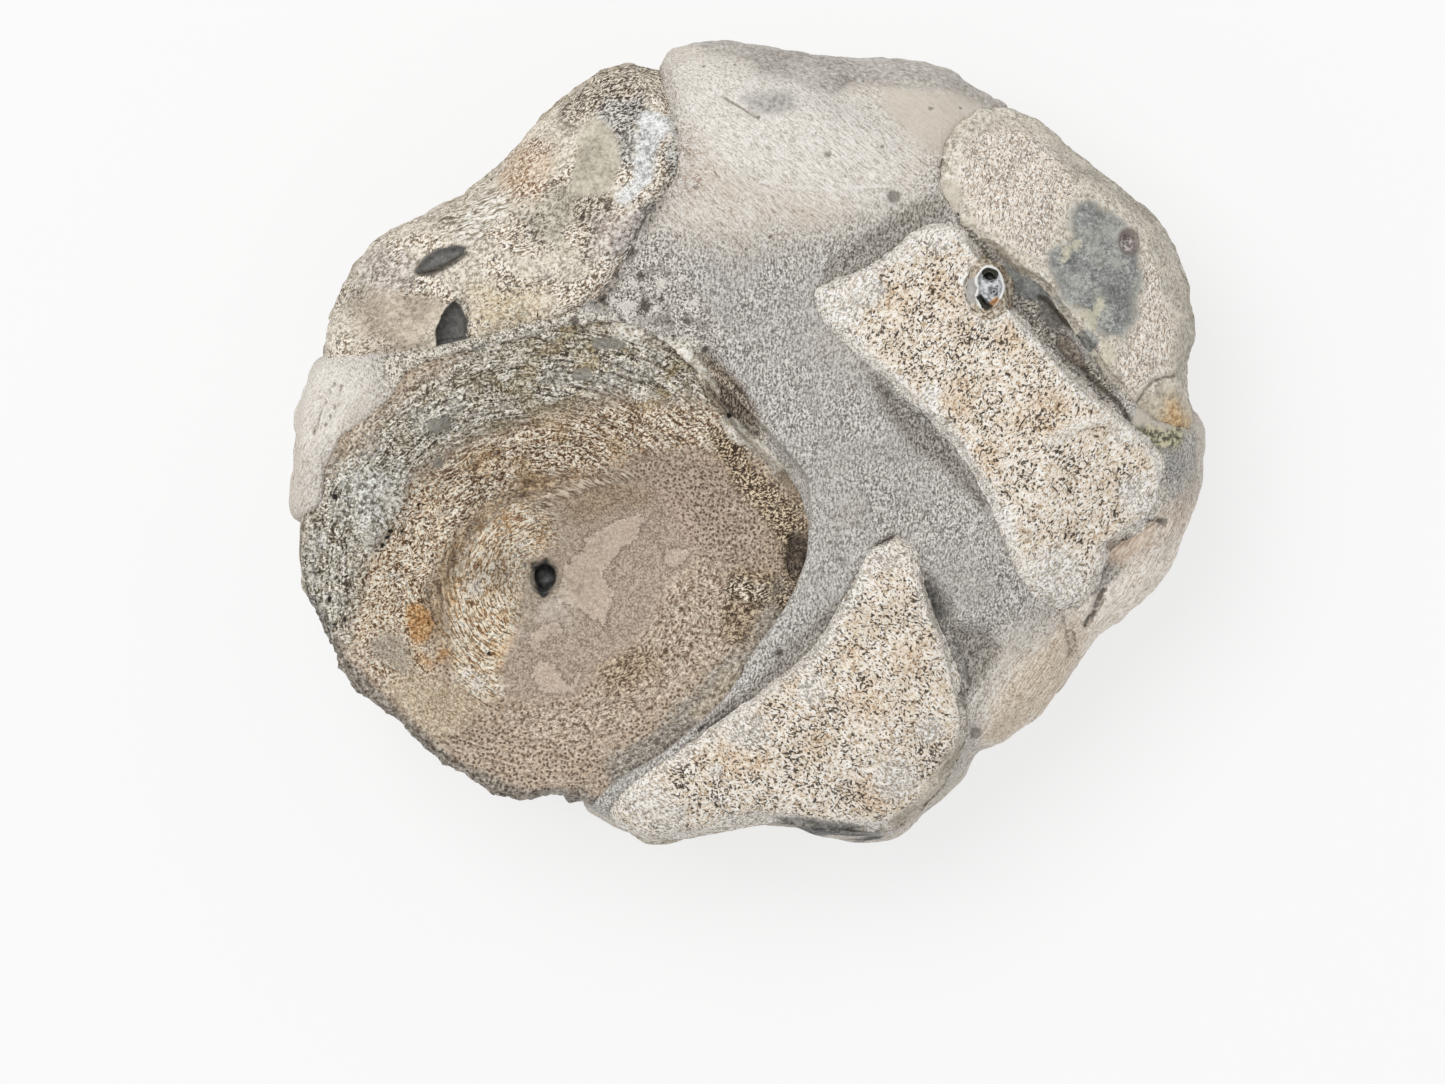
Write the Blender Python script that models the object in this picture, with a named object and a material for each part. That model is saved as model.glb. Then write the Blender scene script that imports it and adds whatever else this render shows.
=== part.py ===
"""Five ichthyosaur vertebrae in a water-worn stone nodule, lying on its flat worn base.

The stone is one solid with a socket for each bone. The bones are the spool-shaped centra of a
small backbone: one lies flat and shows its hollow face, and the others are cut through by the worn
surface. Lengths are in millimetres until a mesh is made, +Z is up, and the origin is on the base,
under the middle of the outline.
"""

import math

import bmesh
import bpy
from mathutils import Vector, noise

MM = 0.001

# Driving dimensions, in millimetres.
NODULE_HEIGHT = 20.0  # the worn top, before its swells and hollows
WIDEST_AT = 9.0  # height at which the nodule reaches its outline
SOCKET_GAP = 0.3  # air between a bone and the wall of its socket
BONE_PROUD = 0.5  # the hard bones stand above the softer stone
FLANK_ROUGHNESS = 0.55
OUTLINE_POINTS = 96
SECTION_POINTS = 48

# The outline of the whole nodule, clockwise from the crevice at the top.
NODULE_OUTLINE = [
    (-5.6, 22.6), (-4.8, 23.9), (-2.9, 24.4), (-1.2, 24.6), (1.1, 24.2), (6.3, 23.6),
    (11.0, 23.2), (12.8, 22.5), (14.6, 21.2), (18.2, 19.3), (20.1, 17.6), (22.2, 16.3),
    (24.1, 14.5), (25.7, 12.7), (26.7, 10.6), (27.2, 8.1), (27.3, 6.0), (26.9, 3.9),
    (27.7, 0.7), (27.8, -1.4), (27.6, -3.6), (26.0, -7.9), (24.7, -9.6), (22.8, -11.2),
    (21.3, -12.2), (20.6, -13.1), (19.2, -15.2), (17.6, -16.7), (15.8, -18.2), (13.9, -19.0),
    (13.3, -20.4), (11.8, -22.0), (8.7, -24.6), (7.3, -24.3), (4.4, -24.2), (1.7, -23.3),
    (-2.9, -24.1), (-6.0, -24.5), (-7.0, -24.2), (-8.6, -23.1), (-10.4, -21.8), (-11.4, -22.0),
    (-12.1, -21.5), (-13.8, -21.9), (-15.4, -21.7), (-17.5, -20.2), (-19.4, -19.1),
    (-21.3, -17.0), (-23.1, -16.0), (-24.4, -14.6), (-25.9, -11.4), (-26.9, -9.7),
    (-27.3, -8.2), (-27.2, -5.4), (-27.6, -4.8), (-27.8, -2.9), (-27.6, 1.0), (-27.2, 3.0),
    (-26.5, 4.7), (-25.9, 5.9), (-25.9, 7.0), (-25.3, 8.7), (-23.2, 11.8), (-21.3, 13.3),
    (-18.9, 14.4), (-15.5, 16.4), (-14.2, 18.2), (-12.4, 20.1), (-10.6, 21.7), (-9.1, 22.7),
    (-7.5, 23.1), (-6.3, 23.1),
]

# Swells and hollows of the worn top: x, y, radius, height.
TOP_RELIEF = [
    (0.5, 18.5, 7.0, 0.7),  # crest of stone behind the bones
    (15.0, 2.0, 6.5, 0.5),  # swell that carries the split centrum
    (10.4, -1.0, 3.4, -0.9),  # stone worn out of the split centrum's hollow face
    (13.2, -12.4, 3.2, -1.1),  # stone worn away beside the wedge
    (-18.5, 10.0, 8.0, -0.9),  # the back left slopes down
    (22.5, -9.5, 5.5, -1.4),  # the front right slopes down
    (24.0, 10.0, 6.0, -0.5),
    (-24.0, 2.0, 5.0, -1.2),  # rounded left shoulder
]

# The base: share of the outline, height.
BASE_RINGS = [(0.99, 6.6), (0.955, 4.4), (0.895, 2.5), (0.82, 1.1), (0.74, 0.3), (0.66, 0.0)]
TOP_SHARES = [0.985, 0.955, 0.91, 0.85, 0.77, 0.67, 0.55, 0.41, 0.25, 0.1]

# The flat-lying centrum: the edge of its face, and the point its hollow runs down to.
DISC_EDGE = [
    (-28.6, -5.2), (-25.7, -4.7), (-25.5, -2.4), (-24.2, 0.2), (-22.5, 1.2), (-21.3, 2.3),
    (-20.7, 3.7), (-17.9, 4.9), (-13.2, 6.0), (-9.3, 6.8), (-7.1, 6.7), (-5.5, 6.0),
    (-2.9, 3.4), (-0.6, 0.5), (2.0, -2.2), (3.2, -4.6), (3.4, -6.3), (2.4, -9.2),
    (0.4, -12.1), (-1.8, -15.5), (-5.3, -18.6), (-9.0, -20.8), (-10.4, -22.6), (-16.0, -22.8),
    (-20.5, -19.4), (-24.5, -16.0), (-27.4, -11.0), (-28.4, -8.0),
]
DISC_CENTRE = (-12.5, -8.2)
DISC_UNDERSIDE = 6.0
DISC_RIM_HEIGHT = 18.9
DISC_TILT = 0.05  # the rim falls this much per millimetre towards the front left
# Share of the way from the centre to the edge, depth under the rim.
DISC_FACE = [
    (1.0, 0.7), (0.97, 0.2), (0.92, 0.0), (0.84, 0.0), (0.76, 0.45), (0.66, 1.35), (0.55, 2.3),
    (0.43, 3.1), (0.31, 3.8), (0.2, 4.4), (0.11, 4.9), (0.062, 5.2), (0.05, 6.6), (0.03, 7.0),
]

# The other bones: each outline is its section at the worn surface.
SPLIT_SECTION = [
    (4.5, 8.7), (5.4, 9.3), (7.4, 10.0), (9.2, 11.2), (10.7, 12.4), (11.9, 12.8), (13.0, 12.1),
    (14.0, 10.7), (15.7, 7.8), (17.6, 5.5), (19.7, 3.4), (21.4, 1.9), (23.0, 0.6), (24.4, -0.7),
    (24.8, -3.2), (23.7, -4.7), (21.7, -5.8), (21.0, -7.2), (20.4, -8.7), (19.7, -9.7),
    (18.7, -9.6), (17.6, -9.0), (16.7, -7.8), (15.8, -5.7), (14.9, -3.7), (13.3, -0.8),
    (11.9, 0.9), (9.9, 2.9), (8.0, 4.5), (6.2, 6.1), (4.9, 7.5),
]
WEDGE_SECTION = [
    (8.9, -6.0), (9.7, -6.4), (10.1, -7.9), (10.7, -9.8), (11.5, -11.7), (12.2, -13.7),
    (12.7, -15.8), (12.9, -17.8), (12.2, -19.4), (11.3, -20.9), (10.1, -22.2), (9.1, -23.2),
    (7.1, -23.3), (4.3, -23.1), (1.8, -22.9), (-0.5, -25.2), (-6.5, -26.0), (-8.2, -23.2),
    (-6.8, -21.1), (-4.0, -19.1), (-1.9, -17.4), (0.2, -16.0), (2.5, -14.2), (4.5, -12.2),
    (6.0, -9.8), (7.2, -7.6), (8.1, -6.3),
]
BACK_LEFT_SECTION = [
    (-6.1, 24.6), (-5.6, 22.0), (-5.2, 20.3), (-4.7, 18.6), (-4.5, 17.0), (-5.1, 15.4),
    (-6.2, 14.2), (-7.0, 12.4), (-7.9, 10.8), (-9.1, 9.3), (-10.3, 8.4), (-11.4, 7.9),
    (-13.7, 7.4), (-16.1, 6.7), (-18.5, 6.1), (-21.0, 5.9), (-24.4, 5.5), (-28.0, 5.9),
    (-28.0, 13.0), (-21.0, 17.5), (-16.0, 22.0), (-10.0, 25.5),
]
BACK_RIGHT_SECTION = [
    (22.0, 20.5), (27.0, 16.0), (30.0, 9.0), (29.5, 1.6), (26.2, 1.3), (24.7, 1.7), (23.5, 2.7),
    (22.0, 4.4), (20.4, 6.4), (19.0, 8.2), (18.0, 9.6), (16.4, 10.8), (15.2, 11.8), (13.8, 12.8),
    (12.6, 14.1), (12.0, 15.1), (12.1, 17.3), (12.9, 18.8), (14.3, 19.8), (15.7, 20.2),
    (16.4, 22.4),
]
# Heights down a bone, and how far its section is drawn in there.
SPLIT_DEPTHS = [(6.5, 0.45), (7.6, 0.72), (9.6, 0.92), (13.0, 1.04), (16.5, 1.02)]
WEDGE_DEPTHS = [(8.2, 0.66), (8.9, 0.82), (10.6, 0.95), (14.0, 1.0)]
BACK_LEFT_DEPTHS = [(2.8, 0.62), (3.5, 0.78), (5.6, 0.92), (9.5, 1.0)]
BACK_RIGHT_DEPTHS = [(6.6, 0.6), (7.3, 0.78), (9.2, 0.93), (12.5, 1.0)]
ABOVE_ALL = 26.0  # a section is drawn up to here, and the worn surface cuts it

# Furrows in the stone beside the bones: radius, then points along the bottom.
FURROWS = {
    "furrow_behind_split": (1.7, [(13.4, 13.0, 20.0), (15.7, 10.0, 19.9), (18.6, 7.1, 19.8),
                                  (21.7, 3.6, 19.5), (23.9, 1.3, 19.2)]),
    "furrow_beside_disc": (1.0, [(-3.6, 4.6, 19.9), (-1.7, 2.3, 19.4), (0.4, 0.1, 19.4),
                                 (2.7, -2.6, 19.5), (3.6, -5.4, 19.8)]),
    "furrow_beside_wedge": (0.9, [(10.2, -7.0, 20.4), (11.4, -10.3, 19.6), (12.8, -14.4, 19.3),
                                  (13.2, -18.0, 18.8)]),
}
# Clefts in the back-left bone that hold dark stone: middle, half sizes, turn in degrees.
CLEFTS = {
    "cleft_back": ((-18.7, 11.0, 19.0), (2.0, 0.72, 1.0), 22),
    "cleft_front": ((-17.8, 6.9, 18.8), (1.9, 0.85, 1.0), 68),
}
# A stub of calcite tube at the back edge of the split centrum.
TUBE_MIDDLE = (14.5, 9.1)
TUBE_HALF_WIDTH = 1.0
TUBE_HALF_LENGTH = 1.5
TUBE_FOOT = 17.2
TUBE_TOP = 20.9
TUBE_WALL = 0.35
TUBE_DEPTH = 1.2


def smooth_loop(corners, count):
    """count points evenly spaced along a closed smooth curve through the corners."""
    fine = []
    total = len(corners)
    for i in range(total):
        a, b, c, d = (Vector(corners[(i + k) % total]) for k in (-1, 0, 1, 2))
        for step in range(8):
            t = step / 8
            fine.append(
                0.5 * (2 * b + (c - a) * t + (2 * a - 5 * b + 4 * c - d) * t**2
                       + (3 * b - a - 3 * c + d) * t**3)
            )
    lengths = [(fine[(i + 1) % len(fine)] - p).length for i, p in enumerate(fine)]
    pitch = sum(lengths) / count
    points, along, i = [], 0.0, 0
    for k in range(count):
        while along + lengths[i] < k * pitch and i < len(fine) - 1:
            along += lengths[i]
            i += 1
        share = (k * pitch - along) / lengths[i]
        points.append(fine[i].lerp(fine[(i + 1) % len(fine)], share))
    return points


def grown(points, distance):
    """A clockwise loop moved outwards by a distance."""
    moved = []
    for i, p in enumerate(points):
        along = points[(i + 1) % len(points)] - points[i - 1]
        moved.append(p + Vector((-along.y, along.x)).normalized() * distance)
    return moved


def drawn_in(points, share):
    """A loop scaled about its own middle."""
    middle = sum(points, Vector((0, 0))) / len(points)
    return [middle + (p - middle) * share for p in points]


def material(name, colour, roughness):
    made = bpy.data.materials.new(name)
    made.use_nodes = True
    shader = made.node_tree.nodes["Principled BSDF"]
    shader.inputs["Base Color"].default_value = (*colour, 1)
    shader.inputs["Roughness"].default_value = roughness
    shader.inputs["Metallic"].default_value = 0.0
    return made


def lofted(name, rings, closing_tip=True):
    """A closed object skinned over rings of points, from the lowest ring to the highest."""
    mesh = bmesh.new()
    loops = [[mesh.verts.new(Vector(p) * MM) for p in ring] for ring in rings]
    for low, high in zip(loops, loops[1:]):
        for i in range(len(low)):
            j = (i + 1) % len(low)
            mesh.faces.new((low[i], high[i], high[j], low[j]))
    mesh.faces.new(loops[0])
    if closing_tip:
        tip = mesh.verts.new(sum((v.co for v in loops[-1]), Vector()) / len(loops[-1]))
        for i in range(len(loops[-1])):
            mesh.faces.new((loops[-1][i], tip, loops[-1][(i + 1) % len(loops[-1])]))
    else:
        mesh.faces.new(reversed(loops[-1]))
    bmesh.ops.recalc_face_normals(mesh, faces=mesh.faces)
    return object_of(name, mesh)


def object_of(name, mesh):
    data = bpy.data.meshes.new(name)
    mesh.to_mesh(data)
    mesh.free()
    data.shade_smooth()
    data.set_sharp_from_angle(angle=math.radians(35))
    made = bpy.data.objects.new(name, data)
    bpy.context.scene.collection.objects.link(made)
    return made


def helper(made):
    """Marks an object that only cuts or trims others."""
    made.hide_render = True
    made.display_type = "WIRE"
    return made


def boolean(target, other, operation):
    cut = target.modifiers.new(f"{operation.lower()}_{other.name}", "BOOLEAN")
    cut.operation = operation
    cut.object = other


def cut_by_all(target, cutters):
    """Cuts every one of the cutters out of the target in one step."""
    group = bpy.data.collections.new(f"cuts_in_{target.name}")
    for cutter in cutters:
        group.objects.link(cutter)
    cut = target.modifiers.new(group.name, "BOOLEAN")
    cut.operation = "DIFFERENCE"
    cut.operand_type = "COLLECTION"
    cut.collection = group


def worn_height(x, y):
    """Height of the worn top surface."""
    height = NODULE_HEIGHT
    for middle_x, middle_y, radius, rise in TOP_RELIEF:
        far = ((x - middle_x) ** 2 + (y - middle_y) ** 2) / radius**2
        height += rise * math.exp(-far)
    return height + 0.3 * noise.noise(Vector((x, y, 0)) / 5)


def shoulder(point, share):
    """How much of its height the top keeps at this share of the outline: 1 inside, 0 at the edge.
    The edge is crisp at the front left, where the flat centrum ends, and round elsewhere."""
    front_left = max(0.0, Vector((-0.8, -0.6)).dot(point.normalized()))
    crispness = 4.0 + 7 * front_left**2
    return (1 - share**crispness) ** (1 / crispness)


def evened(points, reach=5):
    """A loop with the short bends averaged out of it."""
    total = len(points)
    return [sum((points[(i + k) % total] for k in range(-reach, reach + 1)), Vector((0, 0)))
            / (2 * reach + 1) for i in range(total)]


def worn_nodule(name, lift):
    """The nodule with no sockets. lift raises its top, for the surface that the bones are worn to."""
    outline = smooth_loop(NODULE_OUTLINE, OUTLINE_POINTS)
    pairs = list(zip(outline, evened(outline)))

    def ring(share, evenness, height_at):
        """One level. The bends of the outline fade away from it, and lumps of its own take over."""
        points = []
        for sharp, even in pairs:
            flat = sharp.lerp(even, evenness) * share
            z = height_at(flat)
            lump = noise.noise(Vector((*flat, 1.5 * z)) / 6) * FLANK_ROUGHNESS * evenness
            points.append((*(flat + flat.normalized() * lump), z))
        return points

    rings = [
        ring(share, min(1.0, (WIDEST_AT - z) / 5), lambda flat, z=z: z)
        for share, z in reversed(BASE_RINGS)
    ]
    rings.append(ring(1.0, 0.0, lambda flat: WIDEST_AT))
    for share in TOP_SHARES:
        rings.append(
            ring(share, min(1.0, 5 * (1 - share)), lambda flat, s=share: WIDEST_AT
                 + (worn_height(*flat) + lift - WIDEST_AT) * shoulder(flat, s))
        )
    return lofted(name, rings)


def section_column(name, section, depths, gap=0.0):
    """A bone's buried form under its section, carried straight up past the worn surface."""
    loop = smooth_loop(section, SECTION_POINTS)
    low = depths[0][0] - gap
    levels = [(low, depths[0][1])] + depths[1:] + [(ABOVE_ALL, depths[-1][1])]
    rings = [
        [(*p, z) for p in grown(drawn_in(loop, share), gap)] for z, share in levels
    ]
    return lofted(name, rings, closing_tip=False)


def disc_rim_height(x, y):
    return DISC_RIM_HEIGHT + DISC_TILT * ((x - DISC_CENTRE[0]) + (y - DISC_CENTRE[1])) / 2


def flat_centrum(name):
    """The flat-lying centrum: a thick disc with a funnel-shaped hollow in its face."""
    edge = smooth_loop(DISC_EDGE, SECTION_POINTS)
    centre = Vector(DISC_CENTRE)
    mean_radius = sum((p - centre).length for p in edge) / len(edge)
    rings = [[(*(centre + (p - centre) * share), z) for p in edge]
             for share, z in ((0.9, DISC_UNDERSIDE), (0.97, DISC_UNDERSIDE + 0.8),
                              (1.0, DISC_UNDERSIDE + 2.5))]
    for share, depth in DISC_FACE:
        ring = []
        for p in edge:
            outwards = (p - centre).normalized()
            radius = mean_radius + ((p - centre).length - mean_radius) * share**2
            flat = centre + outwards * radius * share
            ring.append((*flat, disc_rim_height(*flat) - depth))
        rings.append(ring)
    return lofted(name, rings)


def disc_column(name, gap):
    """Everything from the flat centrum's underside up, which the stone leaves free."""
    edge = smooth_loop(DISC_EDGE, SECTION_POINTS)
    centre = Vector(DISC_CENTRE)
    levels = ((0.9, DISC_UNDERSIDE - gap), (0.97, DISC_UNDERSIDE + 0.8 - gap),
              (1.0, DISC_UNDERSIDE + 2.5), (1.0, ABOVE_ALL))
    rings = []
    for share, z in levels:
        loop = grown([centre + (p - centre) * share for p in edge], gap)
        rings.append([(*p, z) for p in loop])
    return lofted(name, rings, closing_tip=False)


def furrow(name, radius, path):
    """A round-bottomed cutter along a path."""
    mesh = bmesh.new()
    sides = 10
    rings = []
    for i, point in enumerate(path):
        here = Vector(point)
        along = Vector(path[min(i + 1, len(path) - 1)]) - Vector(path[max(i - 1, 0)])
        across = along.normalized().cross(Vector((0, 0, 1))).normalized()
        end = 0.35 if i in (0, len(path) - 1) else 1.0
        rings.append(
            [mesh.verts.new((here + radius * end * (math.cos(a) * across
                                                    + Vector((0, 0, 1.4 * math.sin(a))))) * MM)
             for a in (math.tau * k / sides for k in range(sides))]
        )
    for low, high in zip(rings, rings[1:]):
        for k in range(sides):
            mesh.faces.new((low[k], high[k], high[(k + 1) % sides], low[(k + 1) % sides]))
    mesh.faces.new(rings[0])
    mesh.faces.new(reversed(rings[-1]))
    bmesh.ops.recalc_face_normals(mesh, faces=mesh.faces)
    return helper(object_of(name, mesh))


def cleft(name, middle, half_sizes, turn):
    """A lens-shaped cutter."""
    mesh = bmesh.new()
    bmesh.ops.create_icosphere(mesh, subdivisions=2, radius=1)
    bmesh.ops.scale(mesh, vec=Vector(half_sizes) * MM, verts=mesh.verts)
    made = helper(object_of(name, mesh))
    made.location = Vector(middle) * MM
    made.rotation_euler.z = math.radians(turn)
    return made


def oval(half_width, half_length, z, sides=20):
    x, y = TUBE_MIDDLE
    return [(x + half_width * math.cos(a), y - half_length * math.sin(a), z)
            for a in (math.tau * k / sides for k in range(sides))]


def calcite_tube(name):
    """An oval stub with a blind hole in its end."""
    inner_width, inner_length = TUBE_HALF_WIDTH - TUBE_WALL, TUBE_HALF_LENGTH - TUBE_WALL
    rings = [
        oval(TUBE_HALF_WIDTH, TUBE_HALF_LENGTH, TUBE_FOOT),
        oval(TUBE_HALF_WIDTH, TUBE_HALF_LENGTH, TUBE_TOP - 0.3),
        oval(TUBE_HALF_WIDTH - 0.15, TUBE_HALF_LENGTH - 0.15, TUBE_TOP),
        oval(inner_width, inner_length, TUBE_TOP),
        oval(inner_width * 0.8, inner_length * 0.8, TUBE_TOP - TUBE_DEPTH),
    ]
    return lofted(name, rings, closing_tip=False)


def build():
    for old in list(bpy.data.objects):
        bpy.data.objects.remove(old)

    stone = material("stone", (0.38, 0.37, 0.34), 0.85)
    brown_bone = material("brown_bone", (0.36, 0.29, 0.23), 0.75)
    pale_bone = material("pale_bone", (0.62, 0.56, 0.45), 0.85)
    calcite = material("calcite", (0.6, 0.6, 0.6), 0.35)

    bone_surface = helper(worn_nodule("bone_surface", BONE_PROUD))
    disc_limit = helper(worn_nodule("disc_limit", 3.0))
    clefts = [cleft(name, *sizes) for name, sizes in CLEFTS.items()]
    tube_socket = helper(
        lofted("tube_socket",
               [oval(TUBE_HALF_WIDTH + SOCKET_GAP, TUBE_HALF_LENGTH + SOCKET_GAP, z)
                for z in (TUBE_FOOT - SOCKET_GAP, ABOVE_ALL)], closing_tip=False)
    )

    nodule = worn_nodule("stone_matrix", 0.0)
    nodule.data.materials.append(stone)

    disc = flat_centrum("flat_centrum")
    disc.data.materials.append(brown_bone)
    boolean(disc, disc_limit, "INTERSECT")
    stone_cutters = [tube_socket, helper(disc_column("disc_socket", SOCKET_GAP))]

    bones = {
        "split_centrum": (SPLIT_SECTION, SPLIT_DEPTHS),
        "wedge_centrum": (WEDGE_SECTION, WEDGE_DEPTHS),
        "back_left_centrum": (BACK_LEFT_SECTION, BACK_LEFT_DEPTHS),
        "back_right_centrum": (BACK_RIGHT_SECTION, BACK_RIGHT_DEPTHS),
    }
    made = {}
    for name, (section, depths) in bones.items():
        bone = section_column(name, section, depths)
        bone.data.materials.append(pale_bone)
        boolean(bone, bone_surface, "INTERSECT")
        made[name] = bone
        socket = helper(section_column(f"{name}_socket", section, depths, SOCKET_GAP))
        stone_cutters.append(socket)
    for cutter in clefts:
        boolean(made["back_left_centrum"], cutter, "DIFFERENCE")

    stone_cutters += [furrow(name, radius, path) for name, (radius, path) in FURROWS.items()]
    cut_by_all(nodule, stone_cutters)

    tube = calcite_tube("calcite_tube")
    tube.data.materials.append(calcite)
    boolean(made["split_centrum"], tube_socket, "DIFFERENCE")


build()
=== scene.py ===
import math

import bmesh
import bpy
import numpy as np
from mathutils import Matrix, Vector, noise
from mathutils.bvhtree import BVHTree
from mathutils.kdtree import KDTree


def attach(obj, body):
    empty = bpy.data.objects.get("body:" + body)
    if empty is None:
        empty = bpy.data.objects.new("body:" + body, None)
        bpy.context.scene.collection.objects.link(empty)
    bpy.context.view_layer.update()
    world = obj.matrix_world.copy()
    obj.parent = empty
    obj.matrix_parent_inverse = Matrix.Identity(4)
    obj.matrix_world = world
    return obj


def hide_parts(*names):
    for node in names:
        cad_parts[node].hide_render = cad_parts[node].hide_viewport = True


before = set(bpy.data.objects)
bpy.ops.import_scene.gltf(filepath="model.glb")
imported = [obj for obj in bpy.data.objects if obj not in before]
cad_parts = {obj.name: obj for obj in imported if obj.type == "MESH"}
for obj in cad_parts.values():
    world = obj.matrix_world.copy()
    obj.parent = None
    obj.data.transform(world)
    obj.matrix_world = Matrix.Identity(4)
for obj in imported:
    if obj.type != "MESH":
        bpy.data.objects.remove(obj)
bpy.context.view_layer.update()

# The stone that holds the bones: a fine-grained grey nodule, rolled and worn smooth by water. Its
# back, left and front right have a cream weathered skin, and the middle is bare grey stone with a
# fibrous grain. It carries everything else in sockets.

MM = 0.001
STONE_GRAIN = 0.28  # size of the mesh's cells, in millimetres
STONE_KEPT = 0.72  # share of the faces that stays, for fewer than 200,000 triangles
CRUST_TONES = (196, 184, 164), (236, 229, 214), (250, 247, 240)  # lime crust, dark to light
BONES = ("flat_centrum", "split_centrum", "wedge_centrum", "back_left_centrum",
         "back_right_centrum", "calcite_tube")

STONE_SKIN = [  # outlines of the cream skin at the back, the left and the front right
    [
        (-5.8, 23), (-6.5, 26), (2.5, 27), (12, 26), (18, 21), (14.3, 19.5), (12.5, 18.2), (11.6, 16),
        (10.7, 14.5), (8, 13.8), (5.9, 12.7), (3.1, 12.2), (-0.5, 11.8), (-3.5, 11.9), (-5.6, 12.8),
        (-4.8, 15.1), (-4.6, 17.6), (-4.8, 20.6)
    ],
    [
        (-30, 4.9), (-25.3, 6.2), (-23.3, 5.4), (-21.9, 3.4), (-22.4, 1.7), (-23.8, 0), (-25.3, -1.3),
        (-25.7, -2.4), (-25.3, -4.5), (-27.1, -5.4), (-30, -4.4)
    ],
    [
        (30, 0), (26.6, -3.6), (24.3, -6), (21.9, -7.2), (20.4, -9), (18.8, -10.4), (15.8, -12.1),
        (14.3, -15.1), (13.4, -16.9), (13.7, -18.4), (11.6, -20.5), (9.5, -22.6), (8, -24.7),
        (12.8, -28.6), (32.2, -15.7)
    ],
]
STONE_ZONES = {  # outlines on the worn face, seen from above
    "back_corner": [  # crumbled stone between the flat and the back left centrum
        (-9, 9.1), (-6.5, 12.4), (-5.3, 12.7), (-2.9, 8.5), (-0.8, 4.9), (-2.9, 5.5), (-5.9, 6.4),
        (-9, 6.7)
    ],
    "rim_cast": [  # pale stone that the flat centrum's rim was pressed into
        (3.1, -1.8), (4, -3.6), (3.9, -7.2), (3.1, -9.6), (1.3, -12.4), (-0.2, -13.9), (-1.7, -15.1),
        (-2.9, -15.7), (-1.7, -13.3), (0.7, -11.4), (2.5, -9), (3.5, -6)
    ],
    "crusted": [  # lime crust along the flat centrum's back edge
        (-22.2, 4.9), (-19.8, 6.4), (-16.2, 7.4), (-11.4, 8.2), (-6.5, 6.7), (-2.9, 5.8), (-1.4, 4.3),
        (-0.2, 2.4), (1.3, 0.6), (0.7, -0.6), (-1.7, 1.2), (-3.5, 3.6), (-6.5, 4.9), (-11.4, 5.8),
        (-16.2, 5.5), (-19.8, 4), (-21.9, 3.1)
    ],
    "disc_right": [  # hollow at the flat centrum's back right edge
        (-3.1, 5.2), (-2.2, 5.4), (-0.8, 3.7), (0.1, 2.5), (0.6, 1.2), (0.2, 0.3), (-0.5, 0.6),
        (-1.6, 1.7), (-2.4, 3.1)
    ],
    "olive_crumbs": [  # crumbs of olive clay at the right end
        (23.6, 0.8), (24.3, 1), (25.2, 0.6), (26.3, 0.9), (26.4, 0), (25.9, -0.5), (24.9, -0.5),
        (24, -0.1), (23.4, 0.3)
    ],
    "bone_smear": [  # pale bone smeared beside them
        (23.1, 0.7), (23.4, 1.7), (23.6, 2.2), (24.7, 1.3), (27, 0.8), (26.8, 0.4), (26.1, 0.8),
        (25.2, 0.6), (24.3, 0.9), (23.6, 0.6)
    ],
    "slate": [  # smooth slate at the furrow's back end: blue-grey, then dark
        (15.5, 10.7), (16.1, 10.4), (16.7, 9.9), (17.4, 9.9), (18, 9.4), (18.3, 8.7), (17.9, 8.3),
        (17, 8.4), (16.3, 8.9), (15.7, 9.6)
    ],
    "dark_slate": [
        (17.4, 8.3), (18.2, 8.4), (18.8, 7.8), (19.3, 7.2), (18.8, 6.7), (18.1, 6.9), (17.6, 7.6)
    ],
    "shell": [  # brown hollow cast of a small shell in the furrow
        (18.6, 6), (18.9, 6.4), (19.4, 6.3), (19.9, 5.8), (20.2, 5.3), (20.4, 4.6), (20.2, 4.3),
        (19.7, 4.7), (19.2, 5.1), (18.7, 5.6)
    ],
    "dark_step": [  # step under the split centrum's front end
        (20.4, -9.2), (20.5, -8.3), (21, -7.6), (21.6, -7.1), (22.6, -7.3), (22.8, -7.9), (22, -8.7),
        (21.1, -9.3)
    ],
    "facet": [  # smooth brown-stained face beside it
        (21.5, -7.2), (21.7, -6.2), (22.3, -5.4), (23.4, -4.7), (24.5, -4.1), (24.9, -4.7),
        (24.4, -5.8), (23.6, -6.8), (22.5, -7.5)
    ],
    "dashes": [  # short brown dashes beside the back left centrum
        (-4.8, 19.5), (-3.5, 19.2), (-2.6, 17.6), (-2.5, 15.1), (-3.5, 14.2), (-4.4, 15.1),
        (-4.8, 17)
    ],
    "stain": [  # small grey stain near the back edge
        (-0.2, 20.7), (2.5, 20.9), (2.8, 20.1), (1.3, 19.7), (0, 20)
    ],
}
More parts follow.
